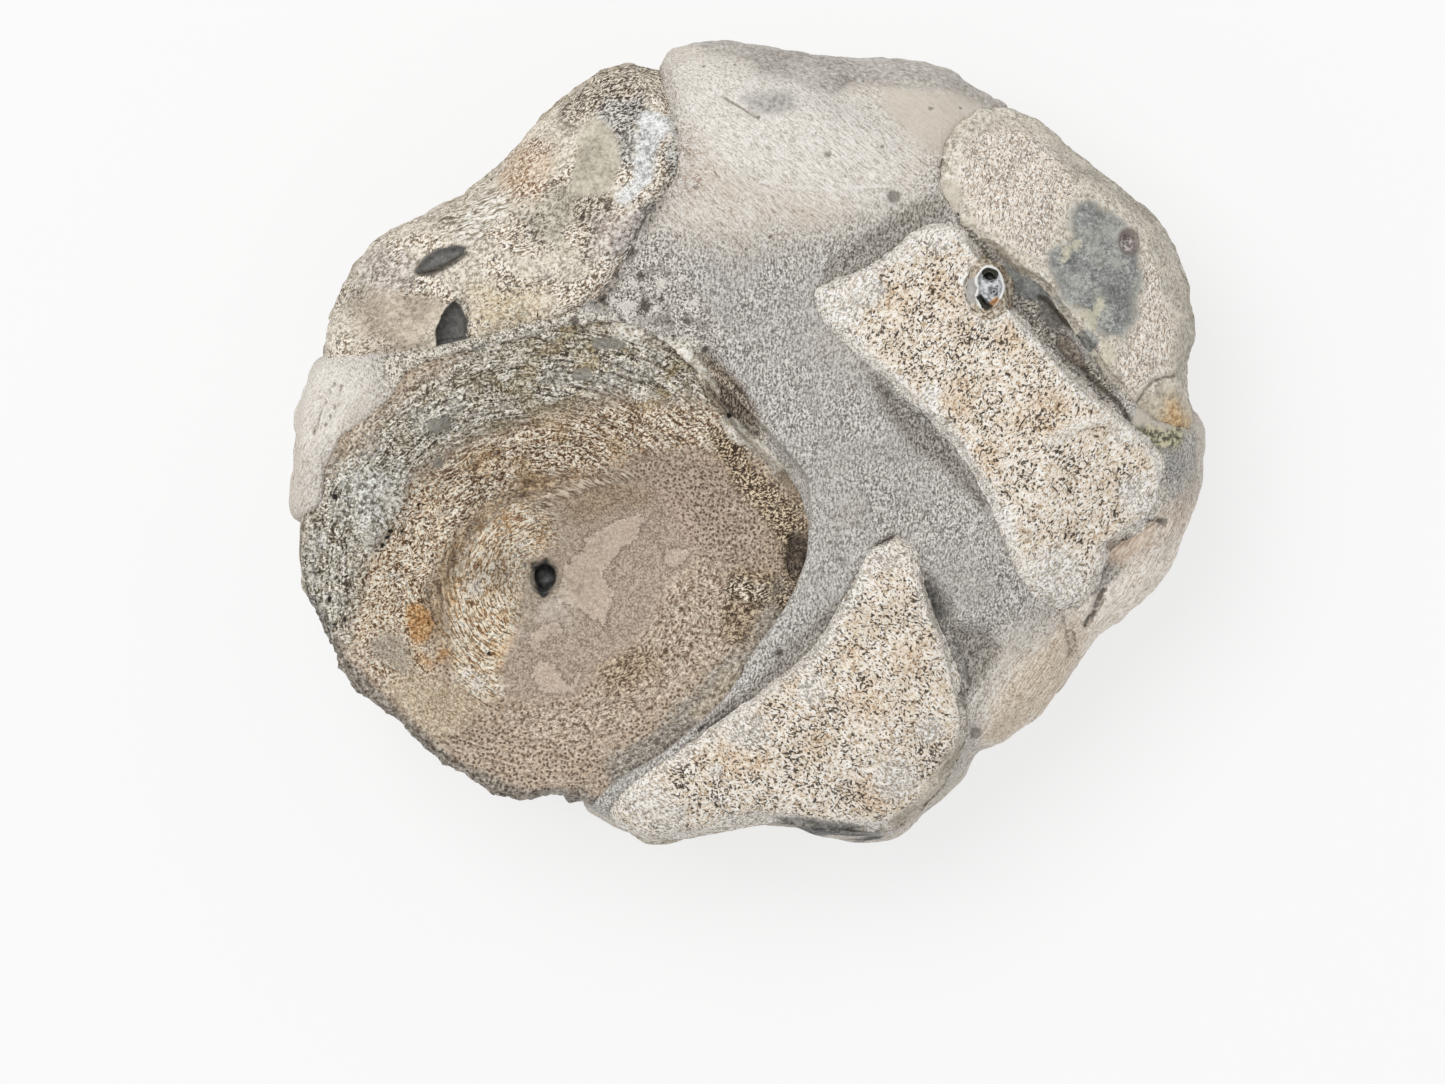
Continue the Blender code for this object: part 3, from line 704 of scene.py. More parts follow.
colour = coated(
    skin.paint(grey, cream),
    (between * upright.step(0.46, 0.34) * 0.7, (112, 102, 92)),
    (place.over("warm_band", ragged * 0.8, 0.7, 0.7), fibre * 0.5 + grit * 0.5,
     (158, 138, 114), (201, 183, 159), (230, 216, 196), 0.1),
    (corner * 0.75, upright * 0.4 + grit * 0.6, (86, 78, 70), (186, 177, 168), (238, 233, 226), 0.07),
    (corner * clotted.step(0.5, 0.4) * 0.65, speck, (72, 66, 60), (132, 126, 119), (188, 182, 175)),
    (corner * clotted.step(0.57, 0.64) * 0.7, (228, 222, 213)),
    (place.over("crusted", ragged * 0.5, 0.4, 0.85), speck * 0.5 + grit * 0.5,
     (86, 78, 66), (198, 190, 174), (244, 239, 227), 0.08),
    (place.over("rim_cast", ragged * 0.4, 0.45, 0.6), grain,
     (134, 130, 123), (190, 187, 180), (222, 219, 212)),
    (place.over("stain", ragged * 0.9, 0.5, 0.7), speck,
     (104, 103, 102), (148, 146, 143), (184, 182, 178)),
    (polished * 0.75, blotch.paint((190, 180, 165), (216, 208, 194))),
    (darker_back * 0.85, blotch * 0.25 + speck * 0.5 + fibre * 0.25,
     (124, 117, 110), (168, 162, 154), (206, 201, 194)),
    (place.over("right_shoulder", ragged * 0.6, 0.8, 0.7), grit,
     (112, 111, 110), (150, 147, 143), (178, 174, 168)),
    # painted shade: the worn hollows beside the bones are darkened
    (place.zone("hollow").step(0.1, 0.9) * 0.6, grain, (66, 60, 54), (124, 116, 106), (170, 162, 150)),
    (place.over("disc_right", ragged * 0.6, 0.35, 0.85), upright,
     (54, 44, 35), (120, 106, 90), (204, 190, 170), 0.08),
    (place.over("furrow", ragged * 0.3, 0.3, 0.9), crossed * 0.6 + grit * 0.4,
     (56, 51, 46), (132, 125, 115), (210, 203, 192), 0.08),
    (place.over("slate", ragged * 0.3, 0.15, 0.9), mixed,
     (98, 102, 102), (130, 134, 132), (164, 166, 162)),
    (place.over("dark_slate", ragged * 0.3, 0.15, 0.85), mixed,
     (74, 73, 70), (104, 102, 96), (142, 139, 131)),
    (shell * 0.6, speck, (70, 58, 48), (122, 108, 94), (170, 156, 140)),
    (shell * (1 - shell) * 2.4, (56, 46, 39)),
    (place.over("dark_step", ragged * 0.5, 0.3, 0.8), grain,
     (88, 84, 80), (142, 137, 130), (184, 179, 172)),
    (place.over("facet", ragged * 0.5, 0.5, 0.75), fibre * 0.5 + blotch * 0.5,
     (158, 132, 110), (194, 172, 150), (222, 208, 192)),
    (dashes * strokes(place, 8, 0.34, 0.1).step(0.44, 0.36) * 0.85, (150, 114, 86)),
    (crust * 0.85, speck, *CRUST_TONES),
    # painted shade: the cleft beside the wedge centrum is darkened near black
    (place.over("cleft_shade", ragged * 0.5, 0.33, 0.85),
     speck.step(0.35, 0.7).paint((40, 40, 40), (124, 122, 119))),
    (place.over("front_flank", ragged * 0.8, 0.3, 0.95), layers * 0.5 + speck * 0.5,
     (56, 57, 58), (96, 95, 94), (152, 149, 144)),
    ((place.zone("notch") + ragged * 0.9).step(0.3, 1.1) * 0.75, speck,
     (46, 40, 34), (110, 100, 90), (190, 182, 170)),
    (flank * 0.6, drift * 0.35 + layers * 0.3 + speck * 0.35,
     (132, 121, 107), (200, 190, 176), (232, 226, 216), 0.075),
    (flank * (drift + (speck - 0.5) * 0.3).step(0.53, 0.6) * 0.7, grain,
     (112, 109, 104), (164, 160, 153), (200, 197, 190)),
    ((place.zone("pock") + (speck - 0.5)).step(0.4, 0.8) * 0.5, (104, 92, 78)),
    (place.over("bone_smear", ragged * 0.3, 0.2, 0.85),
     mixed.paint((176, 168, 152), (218, 210, 196))),
    (place.over("olive_crumbs", ragged * 0.4, 0.3, 0.85), speck,
     (66, 62, 40), (138, 132, 100), (206, 200, 168), 0.08),
    (hole_and_gap_shade * 0.85, grit.paint((34, 28, 23), (92, 80, 68))),
    (place.zone("scratch").step(0.84, 0.95) * 0.6, (238, 234, 228)),
    ((place.zone("crack") + ragged * 0.08).step(0.87, 0.97) * 0.8, (124, 112, 100)),
    (place.zone("pit").step(0.25, 0.6) * 0.7, (104, 99, 93)),
    (dots * 0.6, (92, 86, 80)),
)
smooth = polished.larger(darker_back)
roughness = 0.86 - smooth * 0.25
height = (grain + fibre + speck * 2) * 0.035 * (1 - smooth * 0.7) - dots * 0.08
dress(stone, made, shader, colour, roughness, height)
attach(stone, "root")
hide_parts("stone_matrix")

# The flat centrum: a vertebra's drum-shaped body, petrified, that lies flat and shows the funnel in
# its face. Layers of growth ring the pit in the middle; the back rim is crusted green and ochre.

CENTRUM_GRAIN = 0.2
CENTRUM_PIT = (-12.4, -8.3)  # middle of the pit, which the growth layers ring
CENTRUM_ZONES = {  # outlines of its finishes, seen from above
    "green": [
        (-25, -1.8), (-27.1, -4.8), (-27.9, -7.2), (-26.5, -12.1), (-24.4, -12.1), (-23.5, -9.6),
        (-23, -7.2), (-21.9, -5.4), (-20.7, -3.6), (-20.3, -1.8), (-18.6, -0.9), (-16.8, 0.3),
        (-13.8, 1.2), (-11.4, 2.1), (-7.7, 2.6), (-4.1, 2.3), (-2, 2.5), (-2.9, 4.9), (-6.5, 6.9),
        (-11.4, 6.9), (-16.2, 5.6), (-19.8, 3.4), (-22.8, 0.6)
    ],
    "ochre": [
        (-21.9, -6), (-20.7, -3.6), (-18.6, -1.2), (-13.8, 0.9), (-7.7, 2.5), (-2, 2.1), (-0.8, 0.6),
        (-0.5, -0.6), (-3.5, -0.5), (-6.5, -0.7), (-9, -1.8), (-11.4, -2.3), (-13.8, -3.3),
        (-16.2, -4.8), (-17.7, -7.2), (-18.6, -9.6), (-19.2, -12.1), (-21, -10.8), (-21.9, -8.4)
    ],
    "deep_ochre": [
        (-19.2, -12.1), (-19.8, -9), (-18.6, -6.6), (-16.8, -4.5), (-13.8, -2.4), (-11.4, -2.1),
        (-12.6, -3.3), (-15, -4.2), (-16.8, -6.3), (-17.9, -9), (-18, -12.1)
    ],
    "growth": [
        (-12.3, -3.6), (-11.6, -6), (-13.2, -7), (-13.8, -8.4), (-13.9, -10.2), (-14.4, -12.1),
        (-15, -13.3), (-15.1, -15.7), (-16.8, -15.7), (-17.7, -14.5), (-18.3, -12.1), (-18, -9.6),
        (-17.3, -7.2), (-16.2, -5.4), (-14.4, -3.9)
    ],
    "bare": [
        (-11.4, -2.4), (-9, -2.4), (-5.9, -2.3), (-4.1, -3.6), (-2.9, -6), (-3.5, -8.4), (-5.3, -9.6),
        (-6.5, -12.1), (-8.3, -13.3), (-10.2, -15.1), (-10.5, -15.7), (-15, -15.7), (-14.9, -12.7),
        (-13.8, -10.8), (-13.7, -9), (-13.2, -7.2), (-11.6, -6.3), (-11.6, -4.2)
    ],
    "upper_bare": [
        (-11.4, -3.2), (-10, -2.4), (-8.5, -2), (-6.8, -1.7), (-5.6, -1.4), (-3.5, -2.1), (-2.9, -3),
        (-0.5, -3.6), (0.1, -3), (-0.8, -1.5), (-1.7, -0.3), (-3.5, 0.3), (-5.9, 0), (-7.7, -0.5),
        (-9.6, -1.3), (-10.8, -2.3)
    ],
    "right_band": [
        (-2, -0.6), (-0.8, -1.8), (0.1, -3.9), (1, -4.8), (1.8, -6.3), (2.1, -7.5), (2.2, -8.7),
        (1.4, -9.9), (0.1, -12.1), (-1.7, -13.3), (-2.9, -12.1), (-2.6, -9.6), (-2.9, -7.2),
        (-2.6, -4.8), (-3.2, -3)
    ],
    "front_band": [
        (-6.5, -9), (-3.5, -7.2), (-1.7, -7.2), (-1.7, -12.1), (-4.1, -13.9), (-6.5, -14.5),
        (-9, -15.7), (-15, -16.6), (-15, -15.7), (-10.2, -15.4), (-7.7, -13.3), (-5.9, -11.4)
    ],
    "rust": [
        (-20.7, -10.1), (-20.3, -9.8), (-19.7, -10), (-19.2, -10.4), (-19.1, -11.1), (-19.3, -11.9),
        (-19.9, -12.4), (-20.4, -12.1), (-20.7, -11.1)
    ],
    "pale": [
        (-24.7, -1.8), (-21, -1.8), (-20.7, -3.6), (-21.9, -5.4), (-22.6, -6.5), (-23.5, -6.3),
        (-23.8, -4.5), (-24.4, -3.3)
    ],
    "olive": [
        (-21, -13.9), (-16.8, -15.1), (-16.5, -16.9), (-18.6, -18.1), (-20.4, -16.9), (-21.6, -15.1)
    ],
    "dark_rim": [
        (-1.9, 0.8), (-1.2, 0.3), (-0.2, -0.7), (0.7, -1.7), (1.6, -2.6), (2.5, -3.6), (3.3, -4.8),
        (3.6, -6.3), (3.5, -8.1), (2.8, -9.6), (1.9, -10.4), (1.4, -9.6), (2.2, -8.7), (2.1, -7.5),
        (1.8, -6.3), (1, -4.8), (0.1, -3.9), (-0.7, -3), (-1.2, -1.8), (-1.8, -0.6), (-2.4, 0)
    ],
    "cream_rim": [
        (-7.1, 6.4), (-5.3, 6.1), (-2.9, 5.4), (-2, 2.5), (-0.8, 1.2), (0.8, -0.3), (0.4, -1.2),
        (-1.1, 0.6), (-2.9, 3.4), (-4.7, 5.4), (-6.5, 5.6)
    ],
    "pit": [
        (-13.2, -7.5), (-12.3, -7.2), (-11.7, -7.8), (-11.8, -8.4), (-12.4, -9.5), (-12.9, -9),
        (-13.2, -8.3)
    ],
    "coarse": [
        (-3.5, -7.2), (-4.8, -9), (-5.9, -11.8), (-7.9, -13.6), (-8.9, -15.1), (-9.6, -16.2),
        (-11.6, -16.4), (-13.2, -16), (-14.7, -15.7), (-15, -16.6), (-12.6, -18), (-9, -17.8),
        (-5.9, -16), (-2.9, -13.7), (-0.2, -12.1), (0.7, -9.6), (-0.5, -8.7), (-2, -7.2)
    ],
    "rim_strip": [
        (0.2, -0.3), (1.3, -0.3), (2.2, -1.2), (3.1, -2.3), (3.9, -3.6), (3.5, -4.1), (2.6, -3),
        (1.7, -2), (0.8, -1.2)
    ],
    "rim_hollow": [
        (2.5, -5.6), (3.1, -5.4), (3.5, -6), (3.5, -7), (3.1, -7.9), (2.5, -8.3), (2.3, -7.2)
    ],
    "grains": [
        (-22.7, -1.8), (-21, -1.8), (-19.2, -2.9), (-18.1, -4.8), (-18.6, -7.2), (-19.3, -9.6),
        (-19.1, -12.7), (-18.6, -15.1), (-20.4, -15.7), (-22.7, -14), (-24.1, -11.8), (-24.4, -9),
        (-24.1, -6), (-23.5, -3.6)
    ],
    "rust_front": [
        (-20.2, -12.5), (-19.6, -12.8), (-19.1, -13.3), (-18.6, -12.5), (-18.1, -12.5), (-18, -13),
        (-18.6, -13.5), (-19.3, -13.9), (-19.9, -13.5)
    ],
    "worn_patch": [
        (-22.8, -12.1), (-21.9, -11.4), (-20.8, -11.8), (-20.4, -12.7), (-20.7, -13.9),
        (-21.9, -13.5), (-22.8, -13)
    ],
    "amber_front": [
        (-9, -14.1), (-8.3, -13.3), (-7.4, -12.8), (-6.5, -12.7), (-5.6, -13), (-5.1, -13.6),
        (-5.6, -14.3), (-6.4, -14.8), (-7.1, -15.3), (-8, -15.2), (-8.7, -14.8)
    ],
    "amber_right": [
        (-1.6, -10.4), (-1.5, -9.4), (-1.1, -8.1), (-0.3, -7.6), (0.8, -7.7), (1.8, -7.9), (1.6, -9),
        (1, -10.4), (0.2, -11.6), (-0.4, -12.4), (-1.2, -12.1)
    ],
    "peppered": [
        (-1.6, -9), (-1, -8.5), (0, -8.6), (1, -8.8), (1.4, -9.3), (0.7, -9.8), (-0.3, -9.7),
        (-1.2, -9.6)
    ],
    "bare_brown": [
        (-11.6, -3.6), (-11.4, -2.3), (-9.9, -1.8), (-8.2, -1.5), (-6.5, -2), (-5.2, -2.9),
        (-5.6, -4), (-7.4, -4.4), (-9, -4.9), (-10.6, -4.9)
    ],
    "pitted": [
        (-9.6, -1.3), (-8.3, -0.7), (-6.5, 0.2), (-4.7, 0.4), (-2.9, 0.2), (-1.9, -0.7), (-1.1, -2.1),
        (-0.1, -3.6), (0.6, -5.2), (0.8, -7), (0.2, -8.4), (-1.1, -9), (-2.5, -8.4), (-3.5, -7.2),
        (-4.1, -5.7), (-4.8, -4.3), (-5.9, -3.2), (-7.4, -2.3), (-9, -2)
    ],
    "stony_rim": [
        (-8.7, -19.7), (-7.3, -18.3), (-5.8, -17.4), (-4.5, -16.4), (-3.4, -15.2), (-2.5, -14.2),
        (-1.6, -13.3), (-0.7, -12.4), (0, -11.1), (0.6, -9.8), (1.3, -8.4), (3.1, -7.8), (3.1, -10.2),
        (1.9, -12.7), (0.7, -15.1), (-1.1, -16.9), (-3.5, -19), (-5.9, -20.5), (-8.3, -21.4)
    ],
    "cream_strand": [
        (-3.6, -16.5), (-2.9, -15.6), (-2.2, -14.7), (-1.5, -13.9), (-0.7, -13.1), (-0.4, -13.5),
        (-1, -14.5), (-1.7, -15.3), (-2.5, -16.2), (-3.3, -16.8)
    ],
}
CENTRUM_CRUSTS = [  # smooth grey-pink crusts on the funnel's slope
    [
            (-6.2, -5), (-6.7, -5.8), (-7.2, -6.2), (-7.7, -6.6), (-8.1, -7.3), (-8.5, -7.6),
            (-8.8, -7.8), (-8.7, -8.3), (-8.4, -8.7), (-8.2, -9.2), (-8.3, -9.9), (-8.4, -10.5),
            (-8.6, -11.5), (-9.1, -11), (-9.6, -10.8), (-9.9, -10.5), (-10.2, -10.3), (-10.7, -10.1),
            (-11.2, -9.9), (-11.8, -9.6), (-12.1, -9.3), (-11.6, -8.9), (-11.3, -8.3), (-11.2, -7.6),
            (-10.6, -7), (-9.9, -6.3), (-10, -5.8), (-9.3, -5.5), (-8.5, -5.1), (-7.7, -4.7),
            (-6.8, -4.4), (-6.3, -4.5)
    ],
    [
            (-13.1, -13.6), (-12.5, -13.4), (-11.8, -13.6), (-11.4, -14), (-11.1, -14.5), (-10.7, -14.8),
            (-10.2, -13.8), (-9.9, -13.8), (-10, -14.3), (-10.3, -14.8), (-10.7, -15.4), (-11.4, -15.4),
            (-12.2, -15.4), (-12.7, -15.1), (-13.2, -14.3)
    ],
    [
            (-12.5, -11), (-11.3, -11.1), (-11.2, -11.6), (-11.8, -11.9), (-12.5, -12.2), (-12.9, -12.7),
            (-13.4, -12.5), (-13.2, -11.7)
    ],
    [
            (-5.2, -6.6), (-4.4, -6.4), (-3.7, -6.6), (-3.5, -7.2), (-4.1, -7.6), (-4.7, -7.8),
            (-5.1, -7.4)
    ],
]
CENTRUM_LEDGE = [  # a growth layer's raised edge on the back slope
    (-12.9, -4.1), (-11.8, -3.2), (-10, -2.7), (-8.5, -2.4), (-6.8, -2), (-5.6, -1.8)
]
CENTRUM_OVALS = [  # x, y, radius of smooth grey stone bits in the crusted rim
    (-9.1, 5.8, 0.36), (-8.6, 5.8, 0.38), (-8, 5.8, 0.36), (-7.6, 5.7, 0.24), (-19, 1, 0.45),
    (-18.4, 1.2, 0.42), (-9.8, 4.1, 0.4), (-10.3, 4, 0.36), (-18.8, -1.3, 0.35), (-24.4, -2.7, 0.3)
]
CENTRUM_WHITE_SPOTS = [  # x, y, radius
    (-23.2, -5.6, 0.75), (-23.5, -5, 0.5), (-21.8, -3.6, 1.1), (-21.2, -8.3, 0.4), (-21.6, -8.1, 0.4),
    (-16.3, -14.7, 0.9), (-16.9, -14, 0.6), (-15, -15.1, 0.6), (-16.5, -8.9, 0.7), (-13.8, -6.3, 0.5),
    (-6.5, 2.9, 0.7), (-11.4, 3.2, 0.6)
]
CENTRUM_SHADED_PORES = [  # x, y, radius of small pores, painted near black as shade
    (-1.5, 2.6, 0.2), (-1.6, 2.1, 0.24), (-1.2, 1.5, 0.26), (-0.7, 1.1, 0.26), (-0.2, 0.8, 0.24),
    (0.3, 0.5, 0.2), (-22.1, -6.4, 0.16), (-21.8, -5.9, 0.16), (-21.6, -5.5, 0.18),
    (-20.9, -5.5, 0.12), (-22.4, -6.7, 0.12), (-25.3, -9.6, 0.2), (-24.3, -6.4, 0.14),
    (-21.3, -7.4, 0.12), (-25, -11.1, 0.16), (-23.9, -8.4, 0.12), (-19.5, -4.8, 0.12),
    (-9.6, -15.7, 0.1), (-19.9, -3.9, 0.12), (-13.5, -7.6, 0.16), (-15.7, -12.8, 0.14),
    (-24.9, -3.4, 0.2), (-24.4, -10.8, 0.16)
]
CENTRUM_CRUMBLING = [  # the front left edge, which crumbles
    (-26.6, -10), (-24.9, -13.7), (-21.5, -17), (-18, -20), (-14, -21.8), (-10.2, -21.8)
]


def bedded(piece, host, reach=0.8, chosen=None):
    """Draws a bone's side out into the stone around it, so that no gap shows between them."""
    places = points_of(piece)
    for i in range(len(places)) if chosen is None else np.flatnonzero(chosen):
        longest = reach if places[i][2] > 6 else reach * 3  # the gap is wider near the base
        near, _, _, far = host.find_nearest(places[i], longest)
        if near is not None and far > 1e-4:
            pull = 1 - ease(np.array([far]), longest - 0.3, longest)[0]
            into = 1 + 0.12 / far  # 0.12 mm past the stone's face
            places[i] += (np.array(near) - places[i]) * into * pull
    placed(piece, places)


def lapped(piece, host, top):
    """Marks how far each place on a bone's side is from the stone, for a ragged edge of skin."""
    places = points_of(piece)
    far = np.full(len(places), 4.0)
    for i in np.flatnonzero(top < 0.5):
        near, _, _, gap = host.find_nearest(places[i], 3.0)
        far[i] = 3.0 if near is None else gap
    mark(piece, "from_stone", far)


def side_of(place, colour, pattern, speck, blotch, dark, middle, light):
    """Covers a bone's weathered side: its own dense shell, with stone skin lapped over its edge."""
    grown = (place * (0.4, 0.4, 0.9)).drifting(2.0, 1.6).clouds(1.0, 3.0, 0.6)
    shell = (grown * 0.35 + pattern * 0.3 + speck * 0.35).ramp(dark, middle, light)
    shell = (blotch.step(0.44, 0.34) * 0.3).paint(shell, dark)
    crowd = place.clouds(3.0, 3.0)
    shell = (pores(place * (1, 1, 1.5), 0.3, crowd, 0.41) * 0.8).paint(shell, (62, 52, 42))
    skin = (speck * 0.5 + blotch * 0.5).ramp((146, 136, 122), (202, 193, 180), (230, 223, 212))
    lap = (place.zone("from_stone") + (blotch - 0.5) * 5.0 + (speck - 0.5) * 1.4).step(1.0, 0.5)
    patch = place.clouds(4.5, 4.0, 0.6).step(0.55, 0.6)
    shell = lap.larger(patch * 0.8).paint(shell, skin)
    return place.zone("side").paint(colour, shell)


def side_relief(places, top, layered, seed):
    """The relief of a bone's side, in millimetres: low layers and lumps, fading out at its foot."""
    layers = lumps(places * (0.35, 0.35, 2.2), 1.6, 3, seed=51)
    rough = layered * layers + 0.3 * lumps(places, 4.0, seed=seed)
    return (1 - top) * rough * ease(places[:, 2], 0.3, 2)


def worn_bone(node, name, grain, all_over, face):
    """A bone's fine mesh, worn smooth by rounds all over and then by more on its upper face."""
    piece = fine_copy(node, name, grain)
    evened(piece, all_over)
    chosen = (normals_of(piece)[:, 2] > 0.75) & (points_of(piece)[:, 2] > 14)
    evened(piece, face, chosen, "Z")
    return piece


def from_side(places, facing):
    """Distance of every place from the steep side of the piece."""
    steep = places[facing[:, 2] < 0.45]
    tree = KDTree(len(steep))
    for i, p in enumerate(steep):
        tree.insert(p, i)
    tree.balance()
    return np.array([tree.find(p)[2] for p in places])


def rings_about(place, centre):
    """A place given by its distance from a centre and its way round it, in mm at 6 mm out."""
    off = place - (*centre, 0)
    x = off.node("ShaderNodeSeparateXYZ", None, {0: off}, 0)
    y = off.node("ShaderNodeSeparateXYZ", None, {0: off}, 1)
    out = x.maths("POWER", x * x + y * y, 0.5)
    return x.node("ShaderNodeCombineXYZ", None, {0: out, 1: x.maths("ARCTAN2", y, x) * 6})


def pores(place, size, crowd, share=0.445):
    """Small holes of every depth, 1 in the deepest, closer together where the crowd noise is high."""
    return (place.clouds(size, 1.5) - (crowd - 0.5) * 0.25).step(share, share - 0.08)


centrum = worn_bone("flat_centrum", "flat_bone", CENTRUM_GRAIN, 5, 120)
places, facing = points_of(centrum), normals_of(centrum)
top = on_face(places, facing, 0.3, 0.7, 14)
area = {name: inside(places, outline) for name, outline in CENTRUM_ZONES.items()}
off = places[:, :2] - CENTRUM_PIT
out = np.hypot(off[:, 0], off[:, 1])
arcs = np.stack([out, np.arctan2(off[:, 1], off[:, 0]) * 2.2, 0 * out], axis=1)
rim = from_side(places, facing)
wander = 0.5 * lumps(places, 1.1, seed=3)
depth = 0.1 * lumps(places, 3.5) + 0.05 * lumps(places, 1.1, seed=2)
# the green crust stands up from the rim in beads and crumbs
depth -= 0.22 * ease(area["green"] + wander, -0.25, 0.25)
depth += 0.3 * ease(area["green"], -0.8, 0.8) * lumps(places, 1.3, seed=4)
depth += 0.14 * ease(area["green"], -0.8, 0.8) * lumps(places, 0.5, 2, seed=6)
# thin layers of growth step down the funnel's slope
depth += 0.2 * ease(np.maximum(area["ochre"], area["deep_ochre"]), -0.8, 0.6) * lumps(
    arcs, 0.8, seed=8)
depth += 0.16 * ease(area["deep_ochre"] + wander, -0.3, 0.4)
depth += 0.12 * ease(area["growth"] + 0.3 * wander, -0.1, 0.15)
depth += 0.08 * ease(area["growth"], -0.6, 0.4) * lumps(arcs, 0.36, 2, seed=9)
# rough back and right rims, smooth crusts on the slope, and the hollow in the rim
depth += 0.3 * ease(rim, 1.6, 0.4) * ease(places[:, 1], -4, 0) * lumps(places, 1.0, seed=10)
depth += 0.09 * ease(np.maximum(area["right_band"], area["front_band"]), -0.6, 0.4) * lumps(
    places, 0.5, 2, seed=11)
depth += 0.15 * ease(area["dark_rim"], -0.5, 0.4) + 0.2 * ease(area["dark_rim"], -0.4, 0.4) * (
    lumps(places, 0.6, seed=12))
edge = 0.12 * lumps(places, 0.5, 2, seed=13)
crusts = inside_any(places, CENTRUM_CRUSTS)
depth -= 0.1 * ease(crusts + edge, -0.05, 0.12)
depth += 0.16 * ease(area["coarse"], -0.5, 0.5) * lumps(places, 0.45, 2, seed=18)
depth += 0.5 * ease(area["rim_hollow"] + 0.1 * lumps(places, 0.4), -0.2, 0.35)
# the growth ledge, stone bits, small pores and lime crust, on the upper face alone
ledge = from_path(places, CENTRUM_LEDGE)
depth -= 0.14 * ease(ledge + 0.2 * lumps(places, 0.5, seed=19), 0.35, 0.1)
ovals = dabs(places, CENTRUM_OVALS)
depth -= 0.2 * ovals
depth += 0.3 * dabs(places, CENTRUM_SHADED_PORES)
depth -= 0.15 * ease(from_paths(places, STONE_CREAM_CRUST), 0.5, 0.2)
depth *= top
# the pit in the middle, and the crumbling front edge
depth += 1.3 * ease(area["pit"] + 0.1 * lumps(places, 0.5, seed=14), -0.15, 0.4) * top
crumbling = from_path(places, CENTRUM_CRUMBLING)
depth += ease(crumbling, 1.6, 0.5) * (0.16 + 0.34 * lumps(places, 0.8, seed=15)) * ease(
    places[:, 2], 8, 10)
depth += side_relief(places, top, 0.2, seed=16)
carved(centrum, depth)
bedded(centrum, stone_tree)
for name, distance in area.items():
    mark(centrum, name, distance)
mark(centrum, "crusts", crusts)
mark(centrum, "crumbling", 1 - crumbling + np.minimum((places[:, 2] - 11.5) * 0.5, 0))
mark(centrum, "ledge", 1 - ledge)
mark(centrum, "oval", ovals)
mark(centrum, "white_spot", dabs(places, CENTRUM_WHITE_SPOTS))
mark(centrum, "pore_shade", dabs(places, CENTRUM_SHADED_PORES))
mark(centrum, "cream_crust", 1 - from_paths(places, STONE_CREAM_CRUST))
mark(centrum, "top", top)
mark(centrum, "side", ease(places[:, 2] + 1.6 * lumps(places, 4.0, seed=53), 15.5, 12.0))
lapped(centrum, stone_tree, top)

made, shader, place = finish("brown_petrified_bone")
blotch = place.clouds(2.4, 3.0)
speck = place.clouds(0.3, 3.0, 0.7)
grit = place.clouds(0.12, 2.0)
ragged = (blotch - 0.5) * 1.8 + (speck - 0.5) * 1.3
rings = rings_about(place.drifting(1.8, 0.6), CENTRUM_PIT)
streaks = rings.turned(0, 0.13, 0.95).clouds(1.0, 2.0, 0.65)
bands = rings.turned(0, 0.24, 2.4).clouds(1.0, 2.0, 0.6)
curls = strokes(place, 20, 0.2, 0.13, 1.6)
crowd = place.clouds(1.2, 3.0)
holes = pores(place, 0.17, crowd)
dots = place.cells(0.28, True).step(0.32, 0.2)
fibrous = streaks * 0.55 + curls * 0.45
mixed = grit * 0.6 + speck * 0.4
knotted = speck * 0.5 + curls * 0.5
bare = place.over("bare", ragged * 0.5, 0.5)
brown = place.over("upper_bare", ragged * 0.8, 0.5)
pitted = place.over("pitted", ragged, 0.8)
dotted = (1 - bare.larger(crowd.step(0.54, 0.62) * 0.7)) * (1 - brown * 0.3) * place.zone("top")
ochre = place.over("ochre", ragged, 0.9)
growth = place.over("growth", ragged * 0.6, 0.6)
colour = coated(
    mixed.ramp((140, 122, 106), (186, 168, 151), (214, 199, 182)),
    ((crowd * 0.6 + blotch * 0.4).step(0.47, 0.36) * 0.5, (146, 128, 108)),
    (bare, mixed, (133, 117, 103), (169, 153, 138), (198, 183, 167)),
    ((1 - bare) * 0.5, fibrous, (146, 122, 98), (218, 195, 168), (250, 235, 214)),
    (place.over("bare_brown", ragged, 0.8, 0.75), mixed,
     (108, 88, 62), (147, 128, 102), (178, 160, 136)),
    (brown * 0.9, mixed, (94, 71, 45), (138, 113, 80), (178, 154, 120)),
    (place.over("right_band", ragged, 0.8, 0.6), mixed, (118, 96, 74), (176, 155, 134), (222, 204, 182)),
    (pitted * 0.8, mixed, (152, 133, 117), (191, 172, 155), (212, 196, 180)),
    (dots * dotted.larger(pitted * 0.95) * 0.78, (88, 66, 47)),
    (ochre * 0.9, curls * 0.5 + speck * 0.2 + streaks * 0.3,
     (86, 56, 30), (216, 190, 156), (255, 248, 232), 0.045),
    (ochre * blotch.step(0.5, 0.62) * 0.4, (186, 150, 102)),
    (ochre * (speck - (crowd - 0.5) * 0.5).step(0.43, 0.35) * 0.7, (70, 48, 27)),
    (place.over("grains", ragged, 0.8, 0.9), curls * 0.6 + speck * 0.4,
     (100, 70, 42), (244, 217, 182), (255, 250, 235), 0.055),
    (place.over("deep_ochre", ragged, 0.8, 0.75), bands * 0.7 + speck * 0.3,
     (92, 68, 42), (152, 126, 94), (208, 182, 148)),
    (growth * 0.9, streaks * 0.8 + curls * 0.2, (150, 112, 74), (255, 234, 202), (255, 250, 234), 0.06),
    (growth * crowd.step(0.5, 0.62) * 0.35, (212, 166, 104)),
)
green = place.over("green", ragged, 0.9)
streaky = place.node("ShaderNodeSeparateXYZ", None, {0: place}, 0).step(-19, -9)
yellowed = (blotch * 0.5 + crowd * 0.5).step(0.52, 0.6)
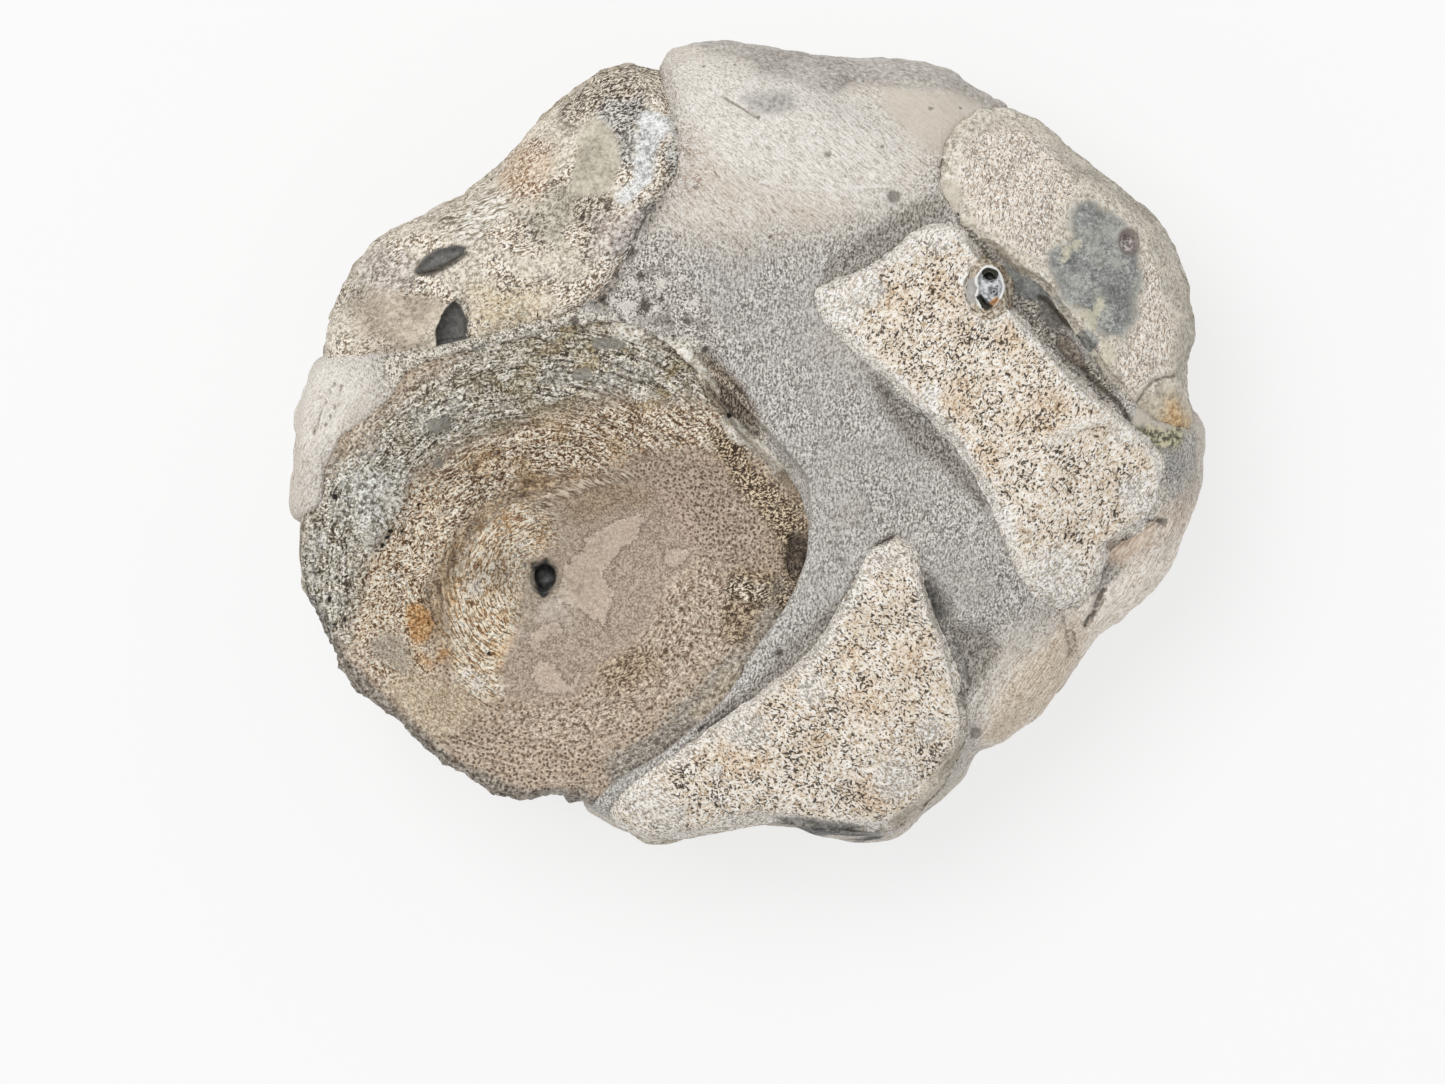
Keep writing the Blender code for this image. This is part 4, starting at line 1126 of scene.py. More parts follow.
mossy = coated(
    (curls * 0.4 + speck * 0.3 + streaks * 0.3).ramp(
        (60, 53, 40), (196, 187, 168), (253, 250, 241), 0.05),
    (blotch.step(0.5, 0.6) * 0.6, curls, (76, 70, 48), (144, 134, 104), (206, 198, 172)),
    (blotch.step(0.45, 0.38) * 0.7, speck, (104, 101, 94), (180, 176, 167), (238, 235, 227)),
    (bands.step(0.47, 0.38) * (0.35 + streaky * 0.4), curls,
     (44, 36, 27), (92, 78, 58), (150, 134, 108)),
    (bands.step(0.52, 0.6) * (0.5 + streaky * 0.3), curls,
     (160, 144, 112), (232, 224, 204), (250, 246, 234)),
    (yellowed * streaky * 0.3, (198, 170, 118)),
)
oval = (place.zone("oval") + (speck - 0.5) * 0.3).step(0.35, 0.5)
ledge = (place.zone("ledge") + ragged * 0.6).step(0.5, 0.95)
dark_rim = place.over("dark_rim", ragged * 0.8, 0.4, 0.92)
hollow = place.over("rim_hollow", ragged * 0.4, 0.2)
rust = place.over("rust", ragged * 0.4, 0.25, 0.85).larger(
    place.over("rust_front", ragged * 0.6, 0.3, 0.7)
)
white = (place.zone("white_spot") + ragged * 0.5 + (curls - 0.5) * 1.8).step(0.45, 0.9) * 0.8
crust = (place.zone("cream_crust") + ragged * 0.25).step(0.55, 0.8)
colour = coated(
    colour,
    (green * 0.95, mossy),
    (oval * 0.85, grit.paint((112, 109, 101), (146, 142, 132))),
    (place.over("pale", ragged, 0.8, 0.75), speck,
     (116, 112, 101), (212, 210, 200), (250, 250, 246), 0.08),
    (place.over("cream_rim", ragged * 0.8, 0.5, 0.85), curls,
     (90, 76, 58), (204, 192, 170), (242, 235, 218), 0.08),
    (place.over("olive", ragged, 0.9, 0.85), mixed, (166, 146, 116), (212, 193, 166), (236, 221, 196)),
    (place.over("stony_rim", ragged * 1.2, 0.5, 0.8), knotted,
     (96, 92, 86), (160, 154, 144), (214, 208, 198)),
    (place.over("cream_strand", ragged * 0.7, 0.3, 0.8), speck,
     (150, 134, 112), (208, 194, 170), (234, 224, 206)),
    (place.over("worn_patch", ragged * 0.7, 0.5, 0.8), mixed,
     (150, 138, 122), (184, 172, 156), (208, 197, 182)),
    (place.over("coarse", ragged, 0.7, 0.85), knotted,
     (102, 80, 59), (200, 180, 158), (244, 231, 213), 0.075),
    (place.over("amber_front", ragged, 0.7, 0.75), knotted,
     (82, 62, 42), (158, 132, 104), (224, 205, 176), 0.06),
    (place.over("amber_right", ragged * 0.9, 0.5, 0.8), knotted,
     (54, 38, 24), (132, 106, 76), (214, 194, 164), 0.06),
    (place.over("peppered", ragged * 0.6, 0.25, 0.85), speck * 0.4 + curls * 0.6,
     (36, 26, 16), (140, 116, 88), (250, 240, 222), 0.05),
    (ledge * 0.6, streaks, (92, 76, 60), (168, 152, 134), (230, 217, 198), 0.07),
    (dark_rim, curls, (42, 28, 16), (138, 106, 74), (236, 219, 190), 0.06),
    (place.over("rim_strip", ragged * 0.6, 0.3, 0.85), curls,
     (92, 82, 66), (146, 135, 116), (192, 182, 162)),
    (hollow * 0.85, speck, (34, 28, 24), (70, 60, 52), (120, 106, 92)),
    (rust, knotted, (140, 92, 42), (201, 145, 80), (230, 190, 134)),
    (white, mixed, (220, 208, 188), (246, 240, 228), (254, 252, 246)),
    (crust * 0.85, speck, *CRUST_TONES),
    # painted shade: the small pores are darkened near black
    ((place.zone("pore_shade") + (speck - 0.5) * 0.4).step(0.35, 0.6), (38, 32, 27)),
)
crusts = place.over("crusts", (speck - 0.5) * 1.2, 0.04)
colour = coated(
    colour,
    (crusts * 0.8, grit * 0.6 + speck * 0.4, (174, 156, 140), (196, 178, 161), (214, 198, 182), 0.12),
    # painted shadow: a dark line round the crusts' edges
    (crusts * (1 - crusts) * 1.6, (112, 92, 76)),
)
colour = side_of(place, colour, curls, speck, blotch, (104, 94, 80), (160, 149, 132), (208, 199, 183))
crumbs = (place.zone("crumbling") + ragged * 0.3).step(-0.1, 0.5)
rough = 1 - bare.larger(crusts).larger(oval)
coarse = green.larger(ochre).larger(dark_rim).larger(growth)
pit = place.over("pit", (speck - 0.5) * 0.6, 0.12)
colour = coated(
    colour,
    (crumbs * 0.7, speck, (52, 48, 44), (122, 118, 112), (196, 191, 182)),
    (holes * rough * (0.15 + 0.4 * coarse), (56, 42, 30)),
    # painted shade: the deep pit is darkened near black
    (pit, speck.step(0.4, 0.7).paint((34, 34, 34), (84, 84, 82))),
)
roughness = 0.82 - pit * 0.4 - crusts * 0.12
height = (
    speck * 0.09 + fibrous * rough * 0.14 - holes * rough * 0.08 - dots * dotted * 0.05
) * (1 - pit * 0.8) + crusts * 0.05
dress(centrum, made, shader, colour, roughness, height)
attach(centrum, "root")
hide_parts("flat_centrum")

# The split centrum: a vertebra cut through from face to face, so that its section is an hourglass.
# It is petrified spongy bone, cream with dark pores, denser and whiter along its worn raised rim.

SPLIT_GRAIN = 0.18
SPLIT_RIDGE = [  # dense raised ridge near its right end
    (18, -0.1), (18.8, 0.3), (20.1, 1), (21.1, 1.3), (22, 1.4), (22.6, 0.8), (23.1, 0.2)
]
SPLIT_SPOTS = {  # x, y, radius of the whitest, the warm and the dense parts
    "whitened": [
        (5.4, 8, 1.9), (7.2, 9.1, 1.3), (11.6, 12.4, 1.3), (18.5, -8.4, 2.4), (23.7, -3.3, 1.5),
        (22.5, 0.5, 0.9), (11, 2.8, 0.7), (15.2, -4.8, 1.2), (9.5, 11.5, 1)
    ],
    "warm": [
        (17.8, 1.6, 1.9), (21.1, 2, 1.1), (12.7, 2.5, 1.4), (14.3, -1.3, 1.3), (21.7, -6.3, 1.1),
        (8.9, 8.5, 1.3), (15.8, 6.1, 1.2), (11.6, 9.1, 1.2)
    ],
    "dense": [
        (17.6, 1.4, 1.4), (19.7, 1, 0.7), (13.2, 2.3, 1.1), (18.8, -7.5, 0.7), (10.7, 5.8, 1.2),
        (14, 6.7, 1), (22.5, -3, 1)
    ],
}


def carve_section(node, name, grain, ridges=()):
    """A bone with a cut face: its uneven relief, its raised, rounded rim, and its sides bedded."""
    piece = worn_bone(node, name, grain, 4, 80)
    places, facing = points_of(piece), normals_of(piece)
    up = places[:, 2]
    rim = from_side(places, facing)
    top = on_face(places, facing, 0.2, 0.6)
    depth = 0.1 * lumps(places, 2.4) + 0.08 * lumps(places, 0.7, seed=2)
    depth += side_relief(places, top, 0.18, seed=52)
    depth += 0.12 * ease(rim, 0.6, 1.8) * top
    for path in ridges:
        depth -= 0.28 * ease(from_path(places, path), 0.6, 0.1) * top
    carved(piece, depth)
    bedded(piece, stone_tree)
    mark(piece, "rim", rim)
    mark(piece, "side", ease(up + 2.0 * lumps(places, 4.0, seed=53), 14.5, 11.0))
    lapped(piece, stone_tree, top)
    return piece, places, top


def spongy(name, degrees):
    """Starts a finish of spongy bone: the finish, its place, and its patterns and open pores."""
    made, shader, place = finish(name)
    blotch = place.clouds(2.0, 3.0)
    speck = place.clouds(0.3, 3.0, 0.7)
    struts = strokes(place, degrees, 0.24, 0.14, 1.2)
    crowd = place.clouds(1.7, 3.0) + place.zone("dense") * 0.12
    holes = pores(place.drifting(1.5, 1.0).turned(degrees, 1.5, 1.0), 0.135, crowd, 0.42).larger(
        pores(place.drifting(2.5, 2.0).turned(degrees + 40, 1.3, 1.0), 0.22, crowd, 0.375)
    )
    return made, shader, place, blotch, speck, struts, holes


def cream_section(place, blotch, speck, struts, holes, ragged, whiteness, *white):
    """The colour of a clean section: cream struts, dark pores, and a whitened margin."""
    threads = struts * 0.5 + speck * 0.5
    warm = (place.zone("warm") + (blotch - 0.5) * 1.6 + (speck - 0.5)).step(0.3, 0.85)
    whitest = (place.zone("whitened") + ragged * 0.25).step(0.3, 0.75)
    margin = (place.zone("rim") + ragged * 0.6).step(0.7, 0.1).larger(whitest)
    return coated(
        threads.ramp((190, 167, 140), (246, 234, 217), (255, 252, 246), 0.09),
        (blotch.step(0.5, 0.64) * 0.3, (222, 201, 172)),
        (warm * 0.7, threads, (184, 148, 112), (232, 210, 182), (250, 238, 220)),
        (margin * whiteness, struts, *white),
        (holes * (1 - margin * 0.6) * 0.95, speck.step(0.4, 0.6).paint((36, 31, 27), (92, 74, 56))),
    )


split, places, _ = carve_section("split_centrum", "split_bone", SPLIT_GRAIN, [SPLIT_RIDGE])
mark(split, "ridge", 1 - from_path(places, SPLIT_RIDGE))
for name, spots in SPLIT_SPOTS.items():
    mark(split, name, dabs(places, spots))

made, shader, place, blotch, speck, struts, holes = spongy("split_bone", 50)
ragged = (blotch - 0.5) * 1.4 + (speck - 0.5) * 1.0
colour = cream_section(place, blotch, speck, struts, holes, ragged, 0.75,
                       (200, 190, 176), (251, 247, 240), (255, 254, 252))
ridge = (place.zone("ridge") + ragged * 0.3).step(0.5, 0.85) * 0.75
colour = ridge.paint(colour, struts.ramp((214, 202, 184), (246, 240, 229), (254, 252, 247)))
colour = side_of(
    place, colour, struts, speck, blotch, (158, 143, 122), (212, 200, 182), (240, 233, 220))
height = speck * 0.08 + struts * 0.12 - holes * 0.08
dress(split, made, shader, colour, 0.8 + holes * 0.1, height)
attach(split, "root")
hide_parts("split_centrum")

# The wedge centrum: another vertebra cut through, of which a worn triangle is left. It stands up to
# a millimetre proud of the stone along its right side, and its front edge is broken.

WEDGE_GRAIN = 0.18
WEDGE_SPOTS = {  # x, y, radius of the whitest, the warm and the dense parts
    "whitened": [
        (8.6, -6.7, 1.5), (-0.2, -17.4, 1.6), (3.9, -15, 1.1), (-6.1, -21.7, 1.8), (-4.7, -22.9, 1.2),
        (8.9, -20.5, 1.6), (11, -17.5, 1), (-2, -19.9, 0.6)
    ],
    "warm": [
        (-5.8, -19.8, 1.3), (-1.1, -19.3, 1.8), (0.8, -19.6, 1.2), (6.9, -16, 1.6), (9.5, -13.1, 1.5),
        (7.8, -21.6, 1.5), (2.5, -14, 1), (-2.9, -18.6, 1), (6.2, -13, 1.2), (4.3, -18.1, 1.2)
    ],
    "dense": [
        (2.5, -20.2, 1.8), (-3.4, -22.7, 0.8), (6.3, -22.2, 1.4), (5.9, -16.4, 1.2),
        (-3.5, -20.9, 1.3), (-0.5, -23, 1.2), (11.3, -19, 1), (9.2, -11.4, 0.8)
    ],
}
WEDGE_BREAK = [  # grey broken strip under the front edge
    (1.7, -22.7), (2.9, -22.8), (3.9, -22.9), (4.9, -23), (6.2, -23.1), (7, -23.4), (8.2, -23.7),
    (8.9, -24.5), (6.9, -24.5), (4.7, -24.3), (2.3, -23.7)
]
WEDGE_CORNER = [  # smooth worn corner at the front right
    (8.2, -23.8), (8.7, -23), (9.3, -22.6), (9.8, -22.2), (10.4, -21.6), (11.2, -20.3), (11.9, -19.1),
    (12.7, -18), (13.4, -19.3), (12.8, -21.2), (10.4, -23.3), (8.9, -24.6)
]

wedge, places, _ = carve_section("wedge_centrum", "wedge_bone", WEDGE_GRAIN)
mark(wedge, "break", inside(places, WEDGE_BREAK))
mark(wedge, "corner", inside(places, WEDGE_CORNER))
for name, spots in WEDGE_SPOTS.items():
    mark(wedge, name, dabs(places, spots))

made, shader, place, blotch, speck, struts, holes = spongy("wedge_bone", -35)
ragged = (blotch - 0.5) * 1.4 + (speck - 0.5) * 1.0
colour = coated(
    cream_section(place, blotch, speck, struts, holes, ragged, 0.7,
                  (184, 174, 160), (242, 237, 228), (254, 252, 248)),
    (place.over("corner", ragged * 0.3, 0.25, 0.85), speck * 0.5 + blotch * 0.5,
     (152, 141, 122), (196, 185, 166), (222, 213, 198)),
    (place.over("break", ragged * 0.3, 0.22, 0.9), speck,
     (66, 65, 66), (110, 107, 104), (158, 154, 148)),
)
colour = side_of(
    place, colour, struts, speck, blotch, (150, 137, 118), (204, 193, 176), (236, 229, 216))
height = speck * 0.08 + struts * 0.12 - holes * 0.08
dress(wedge, made, shader, colour, 0.8 + holes * 0.1, height)
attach(wedge, "root")
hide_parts("wedge_centrum")

# The back left centrum: a vertebra worn down slantwise. Its spongy inside is filled in places with
# smooth clay stone, white calcite and yellow silt, and two slots hold dark slate.

BACK_LEFT_GRAIN = 0.19
BACK_LEFT_ZONES = {  # outlines of what fills or stains it, seen from above
    "clay": [
        (-10.2, 18.8), (-9.6, 19.4), (-8.8, 19.3), (-8.2, 18.8), (-7.7, 17.9), (-7.8, 16.6),
        (-8.3, 15.4), (-9.1, 14.8), (-10.1, 14.8), (-10.8, 15.1), (-10.6, 16.3), (-10.4, 17.6)
    ],
    "calcite": [
        (-6.5, 19.5), (-5.9, 19.9), (-5, 19.5), (-4.9, 18.5), (-5.3, 17.6), (-5.6, 16.6), (-5.6, 16),
        (-6.1, 15.3), (-6.7, 14.8), (-7.3, 14.2), (-7.9, 14.3), (-7.7, 15), (-7, 15.6), (-6.9, 16.6),
        (-6.8, 17.9), (-6.7, 18.8)
    ],
    "dark_pored": [
        (-10.6, 14.5), (-9.6, 15), (-8.2, 14.8), (-7.9, 14.1), (-8.5, 13.2), (-9, 12.1), (-9.4, 10.8),
        (-10.2, 10.7), (-10.3, 12.4), (-10.6, 13.6)
    ],
    "silt": [(-16.9, 9.1), (-15, 9.5), (-12.3, 9.2), (-12.1, 7.8), (-13.8, 6.9), (-16.3, 6.7)],
    "pink": [
        (-24.1, 8.5), (-22.2, 9.2), (-19.7, 9.1), (-18.5, 8.3), (-19.1, 7), (-20.9, 5.6), (-23.3, 6)
    ],
    "slot_back": [
        (-20.3, 10.2), (-19.8, 11), (-19, 11.6), (-17.7, 11.9), (-17, 11.7), (-17.4, 11.2),
        (-18.2, 10.7), (-19, 10.2), (-19.8, 10.1)
    ],
    "slot_front": [
        (-19, 5.2), (-18.8, 6.8), (-18.2, 7.8), (-17.7, 8.4), (-17.4, 8.1), (-17, 7.2), (-17.3, 6.3),
        (-17.7, 5.2)
    ],
    "fibres": [
        (-19.2, 13.6), (-17.7, 14.2), (-15.9, 15.1), (-14.3, 15.6), (-13.8, 14.8), (-14.7, 13.6),
        (-16.2, 12.8), (-17.7, 12.4), (-18.9, 12.6)
    ],
    "back_margin": [
        (-11.7, 20.3), (-10.2, 21.7), (-8, 23.8), (-5, 23.9), (-5.6, 21.8), (-6.1, 20.3),
        (-6.7, 19.5), (-7.6, 19.4), (-9, 19.9), (-9.9, 19.5), (-10.8, 19.1)
    ],
    "clay_band": [
        (-13.8, 13.6), (-12.3, 14.8), (-10.6, 15.4), (-10.5, 13.6), (-11.4, 12.1), (-13.2, 11.8)
    ],
    "olive": [(-25, 8.5), (-23.9, 10), (-22.7, 10.8), (-21.9, 10), (-22.7, 8.5), (-24.1, 7.8)],
    "tan_streaks": [
        (-14.7, 17.6), (-13.2, 18.2), (-12, 17.7), (-12.1, 16.2), (-12.8, 14.8), (-14.1, 14.7),
        (-15, 15.4)
    ],
    "grey_pored": [
        (-8.6, 20.8), (-6.5, 21.1), (-6.2, 19.7), (-6.7, 19), (-6.8, 17.6), (-7.1, 16.5),
        (-7.9, 16.8), (-8.1, 18.2), (-8.7, 19.2), (-9.2, 20)
    ],
    "grey_edge": [
        (-4.8, 19.5), (-4.3, 18.2), (-4.3, 16.3), (-4.8, 14.8), (-5.6, 13.9), (-6.5, 12.8),
        (-7.3, 11.5), (-8.2, 10.8), (-8.7, 11.5), (-7.9, 12.6), (-6.8, 13.8), (-6.1, 14.5),
        (-5.5, 15.4), (-5.1, 16.3), (-5.2, 17.4), (-4.9, 18.3)
    ],
    "rosy": [
        (-9.4, 13.6), (-8.2, 13.8), (-7, 13.9), (-6.5, 13.3), (-7.3, 12.1), (-8.2, 11.2),
        (-9.1, 10.8), (-9.6, 11.8)
    ],
    "white_fibres": [
        (-17.7, 12.7), (-17.4, 13.6), (-16.6, 14.5), (-15.7, 15.1), (-14.9, 15.4), (-14.3, 14.8),
        (-14.7, 13.9), (-15.4, 13.2), (-16.2, 12.6), (-17, 12.1), (-17.8, 12.1)
    ],
    "rosy_left": [
        (-23.3, 10.7), (-22.8, 11.5), (-21.8, 11.6), (-20.8, 11.2), (-20.2, 10.8), (-20.4, 9.9),
        (-19.8, 9.5), (-20.6, 9), (-21.6, 9.1), (-22.6, 9.5), (-23.2, 9.8)
    ],
    "slot_shadow": [
        (-20.3, 10), (-19.8, 10.5), (-19.1, 10.7), (-18.4, 10.8), (-18, 11.1), (-17.5, 11.4),
        (-17, 11.5), (-16.9, 11.3), (-17.5, 10.8), (-18, 10.5), (-18.6, 10.2), (-19.3, 9.9)
    ],
}

back_left, places, top = carve_section("back_left_centrum", "back_left_bone", BACK_LEFT_GRAIN)
area = {name: inside(places, outline) for name, outline in BACK_LEFT_ZONES.items()}
slots = np.maximum(area["slot_back"], area["slot_front"])
depth = 0.45 * ease(slots, -0.05, 0.3) * top
depth += 0.12 * ease(area["dark_pored"], -0.5, 0.3) * (1 + lumps(places, 0.5, 2, seed=21)) * top
depth += 0.08 * ease(area["fibres"], -0.5, 0.3) * lumps(
    places * (0.35, 1, 1), 0.35, 2, seed=22) * top
carved(back_left, depth)
for name, distance in area.items():
    mark(back_left, name, distance)

made, shader, place, blotch, speck, struts, holes = spongy("back_left_bone", 30)
ragged = (blotch - 0.5) * 1.6 + (speck - 0.5) * 1.2
silted = blotch.step(0.42, 0.6)
pink = place.over("pink", ragged, 0.7, 0.8)
fibres = place.drifting(1.0, 0.5).turned(18, 0.8, 0.16).clouds(1.0, 2.0)
filled = place.over("clay", (speck - 0.5) * 0.9, 0.2)
plain = filled.larger(pink)
dark = place.over("dark_pored", ragged * 0.6, 0.4).larger(place.over("back_margin", ragged, 0.6))
salted = place.over("grey_pored", ragged * 0.7, 0.4).larger(place.over("grey_edge", ragged, 0.4))
slate = place.over("slot_back", (speck - 0.5) * 0.3, 0.08).larger(
    place.over("slot_front", (speck - 0.5) * 0.3, 0.08)
)
colour = coated(
    struts.ramp((130, 109, 86), (232, 219, 200), (253, 247, 236)),
    (silted, speck, (184, 174, 156), (226, 216, 199), (244, 237, 222), 0.12),
    (place.over("clay_band", ragged, 0.8, 0.7), speck,
     (138, 131, 113), (180, 173, 154), (204, 198, 180)),
    (place.over("olive", ragged, 0.6, 0.6), speck, (128, 121, 106), (166, 159, 143), (192, 186, 170)),
    (place.over("silt", ragged, 0.9, 0.7), speck, (186, 163, 128), (220, 204, 173), (238, 226, 202)),
    (pink, speck * 0.5 + blotch * 0.5, (150, 134, 116), (178, 162, 144), (206, 190, 171)),
    (place.over("fibres", ragged * 0.6, 0.5, 0.85), fibres,
     (116, 102, 82), (206, 194, 174), (243, 237, 224)),
    (holes * (1 - plain * 0.9) * (1 - silted * 0.6) * 0.8, (62, 52, 42)),
    (dark * 0.85, struts * 0.6 + speck * 0.4, (44, 30, 20), (168, 150, 128), (238, 229, 212), 0.045),
    (salted * 0.85, struts, (66, 61, 56), (152, 149, 143), (222, 220, 214), 0.07),
    (place.over("rosy", ragged, 0.6).larger(place.over("rosy_left", ragged, 0.6)) * 0.7, speck,
     (130, 116, 108), (196, 184, 176), (236, 229, 222)),
    (place.over("white_fibres", ragged, 0.5, 0.75), fibres,
     (150, 136, 116), (232, 224, 210), (252, 248, 240), 0.08),
    (place.over("tan_streaks", ragged, 0.7, 0.7), struts,
     (142, 104, 72), (216, 186, 154), (244, 228, 206)),
    (place.over("calcite", ragged * 0.7, 0.3, 0.9), speck * 0.7 + blotch * 0.3,
     (172, 173, 172), (228, 229, 228), (253, 253, 252), 0.09),
    (filled * 0.85, speck * 0.5 + blotch * 0.5, (158, 151, 134), (190, 183, 164), (212, 205, 188)),
    (slate, speck.step(0.3, 0.7).paint((84, 84, 82), (122, 120, 116))),
    (place.over("slot_shadow", (speck - 0.5) * 0.4, 0.1, 0.85),
     speck.step(0.35, 0.65).paint((44, 38, 31), (96, 86, 72))),
)
colour = side_of(
    place, colour, struts, speck, blotch, (150, 136, 116), (200, 188, 168), (232, 223, 207))
roughness = 0.85 - plain * 0.15 - slate * 0.3
height = (speck * 0.08 + struts * 0.08 - holes * 0.07) * (1 - plain * 0.7) * (1 - slate * 0.8)
dress(back_left, made, shader, colour, roughness, height)
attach(back_left, "root")
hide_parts("back_left_centrum")

# The back right centrum: a vertebra worn through at the nodule's rim. It is cream pored bone with a
# patch of blue-grey clay stone, yellow-green stains and a small ring-shaped crater.

BACK_RIGHT_GRAIN = 0.19
BACK_RIGHT_ZONES = {  # outlines of what fills or stains it, seen from above
    "dense_edge": [
        (11.8, 15.7), (12.6, 15.6), (12.9, 14.2), (13.5, 13), (14.5, 11.7), (13.9, 11.4),
        (12.8, 12.6), (12.1, 14.1)
    ],
    "blue_clay": [
        (19.9, 14.4), (20.7, 14.8), (21.5, 14.2), (22.6, 13.4), (23.4, 12.4), (23.9, 11.2),
        (23.9, 9.8), (23.6, 8.5), (23.4, 7.2), (22.6, 6.3), (21.6, 6.2), (21, 6.9), (20.1, 7.8),
        (19, 8.5), (18.4, 9.6), (18, 10.8), (18.2, 11.4), (19.2, 11.9), (19.7, 12.6), (19.7, 13.7)
    ],
    "stain_back": [(21.3, 6), (21.6, 6.2), (22, 5.7), (22.2, 5), (21.9, 4.5), (21.4, 4.9)],
    "stain_front": [
        (19.9, 7.8), (20.3, 8), (20.8, 7.9), (21.1, 8.5), (21, 8.9), (21.4, 8.7), (21.6, 8.3),
        (21.2, 7.8), (21.1, 7.2), (20.8, 6.7), (20.4, 7.2)
    ],
    "stain_side": [
        (19.1, 11.8), (19.6, 11.9), (19.7, 12.2), (20.2, 12.1), (20.1, 11.7), (19.6, 11.5),
        (19.3, 10.8), (19, 10.7), (19, 11.3)
    ],
    "pink_pored": [
        (24, 10.8), (24.6, 10.8), (25.1, 9.8), (25.4, 8.4), (26, 7), (25.8, 5.7), (25.2, 4.3),
        (24.4, 3.6), (23, 3), (22.6, 3.7), (22.3, 4.9), (22.8, 5.9), (23.4, 6.6), (23.7, 7.7),
        (23.7, 9.3)
    ],
    "corner": [
        (23.3, 2.7), (24.4, 2.9), (25.4, 3.4), (26.5, 2.9), (27.6, 0.6), (25.4, 0.3), (24.2, 0.4),
        (23.4, 1.2)
    ],
    "olive_crumb": [
        (23.6, 0.5), (24.4, 1.2), (25.5, 1.5), (27.6, 1.2), (27.6, -0.3), (25.2, -0.3), (24, 0)
    ],
    "rust": [(25.2, 2.5), (25.9, 2.7), (26.3, 2.2), (26.7, 1.2), (26.3, 0.6), (25.5, 0.6), (25.1, 1.4)],
    "blue_bud": [(19.9, 6.4), (20.4, 6.7), (21, 6.4), (21.2, 6), (21, 5.4), (20.6, 5.1), (20.2, 5.6)],
    "upper_pored": [
        (12.9, 17.6), (13.9, 18.6), (15.2, 19), (17, 18.6), (18.5, 17.6), (19.6, 16.2), (19.8, 15),
        (18.8, 13.9), (18.4, 12.4), (18, 10.8), (17.3, 10.8), (15.8, 12.1), (14.3, 13), (13.3, 14.2),
        (12.7, 15.7)
    ],
    "grey_margin": [
        (17.6, 20), (19.7, 18.5), (21.9, 17), (23.7, 15.1), (25.2, 13), (26.1, 10.9), (26.8, 8.5),
        (27.3, 5.5), (26.4, 2.5), (25.9, 5.5), (26.2, 7.2), (25.6, 9.1), (24.9, 11.2), (24.3, 12.6),
        (22.8, 14.2), (21.3, 15.3), (19.9, 15.9), (18.7, 17.7)
    ],
}
BACK_RIGHT_CRACK = [(23.4, 1.2), (23.7, 2.2), (24, 3), (24.6, 3.6), (25.5, 3.9), (26.2, 4)]
CRATER = (23.1, 12.1)
CRATER_RADIUS = 0.62  # across its width; it is a quarter longer

back_right, places, top = carve_section("back_right_centrum", "back_right_bone", BACK_RIGHT_GRAIN)
area = {name: inside(places, outline) for name, outline in BACK_RIGHT_ZONES.items()}
crater = np.hypot(places[:, 0] - CRATER[0], (places[:, 1] - CRATER[1]) / 1.25)
crack = from_path(places, BACK_RIGHT_CRACK)
depth = 0.25 * ease(crater, CRATER_RADIUS, CRATER_RADIUS * 0.5) * top
depth -= 0.12 * np.exp(-(((crater - CRATER_RADIUS) / 0.15) ** 2)) * top
depth += 0.2 * ease(crack, 0.25, 0.05) * top
depth += 0.1 * ease(area["olive_crumb"], -0.4, 0.3) * lumps(places, 0.5, 2, seed=31) * top
carved(back_right, depth)
for name, distance in area.items():
    mark(back_right, name, distance)
mark(back_right, "crack", 1 - crack)
mark(back_right, "crater", 1 - np.abs(crater - CRATER_RADIUS * 0.9))
mark(back_right, "crater_pit", ease(crater, CRATER_RADIUS, CRATER_RADIUS * 0.6))

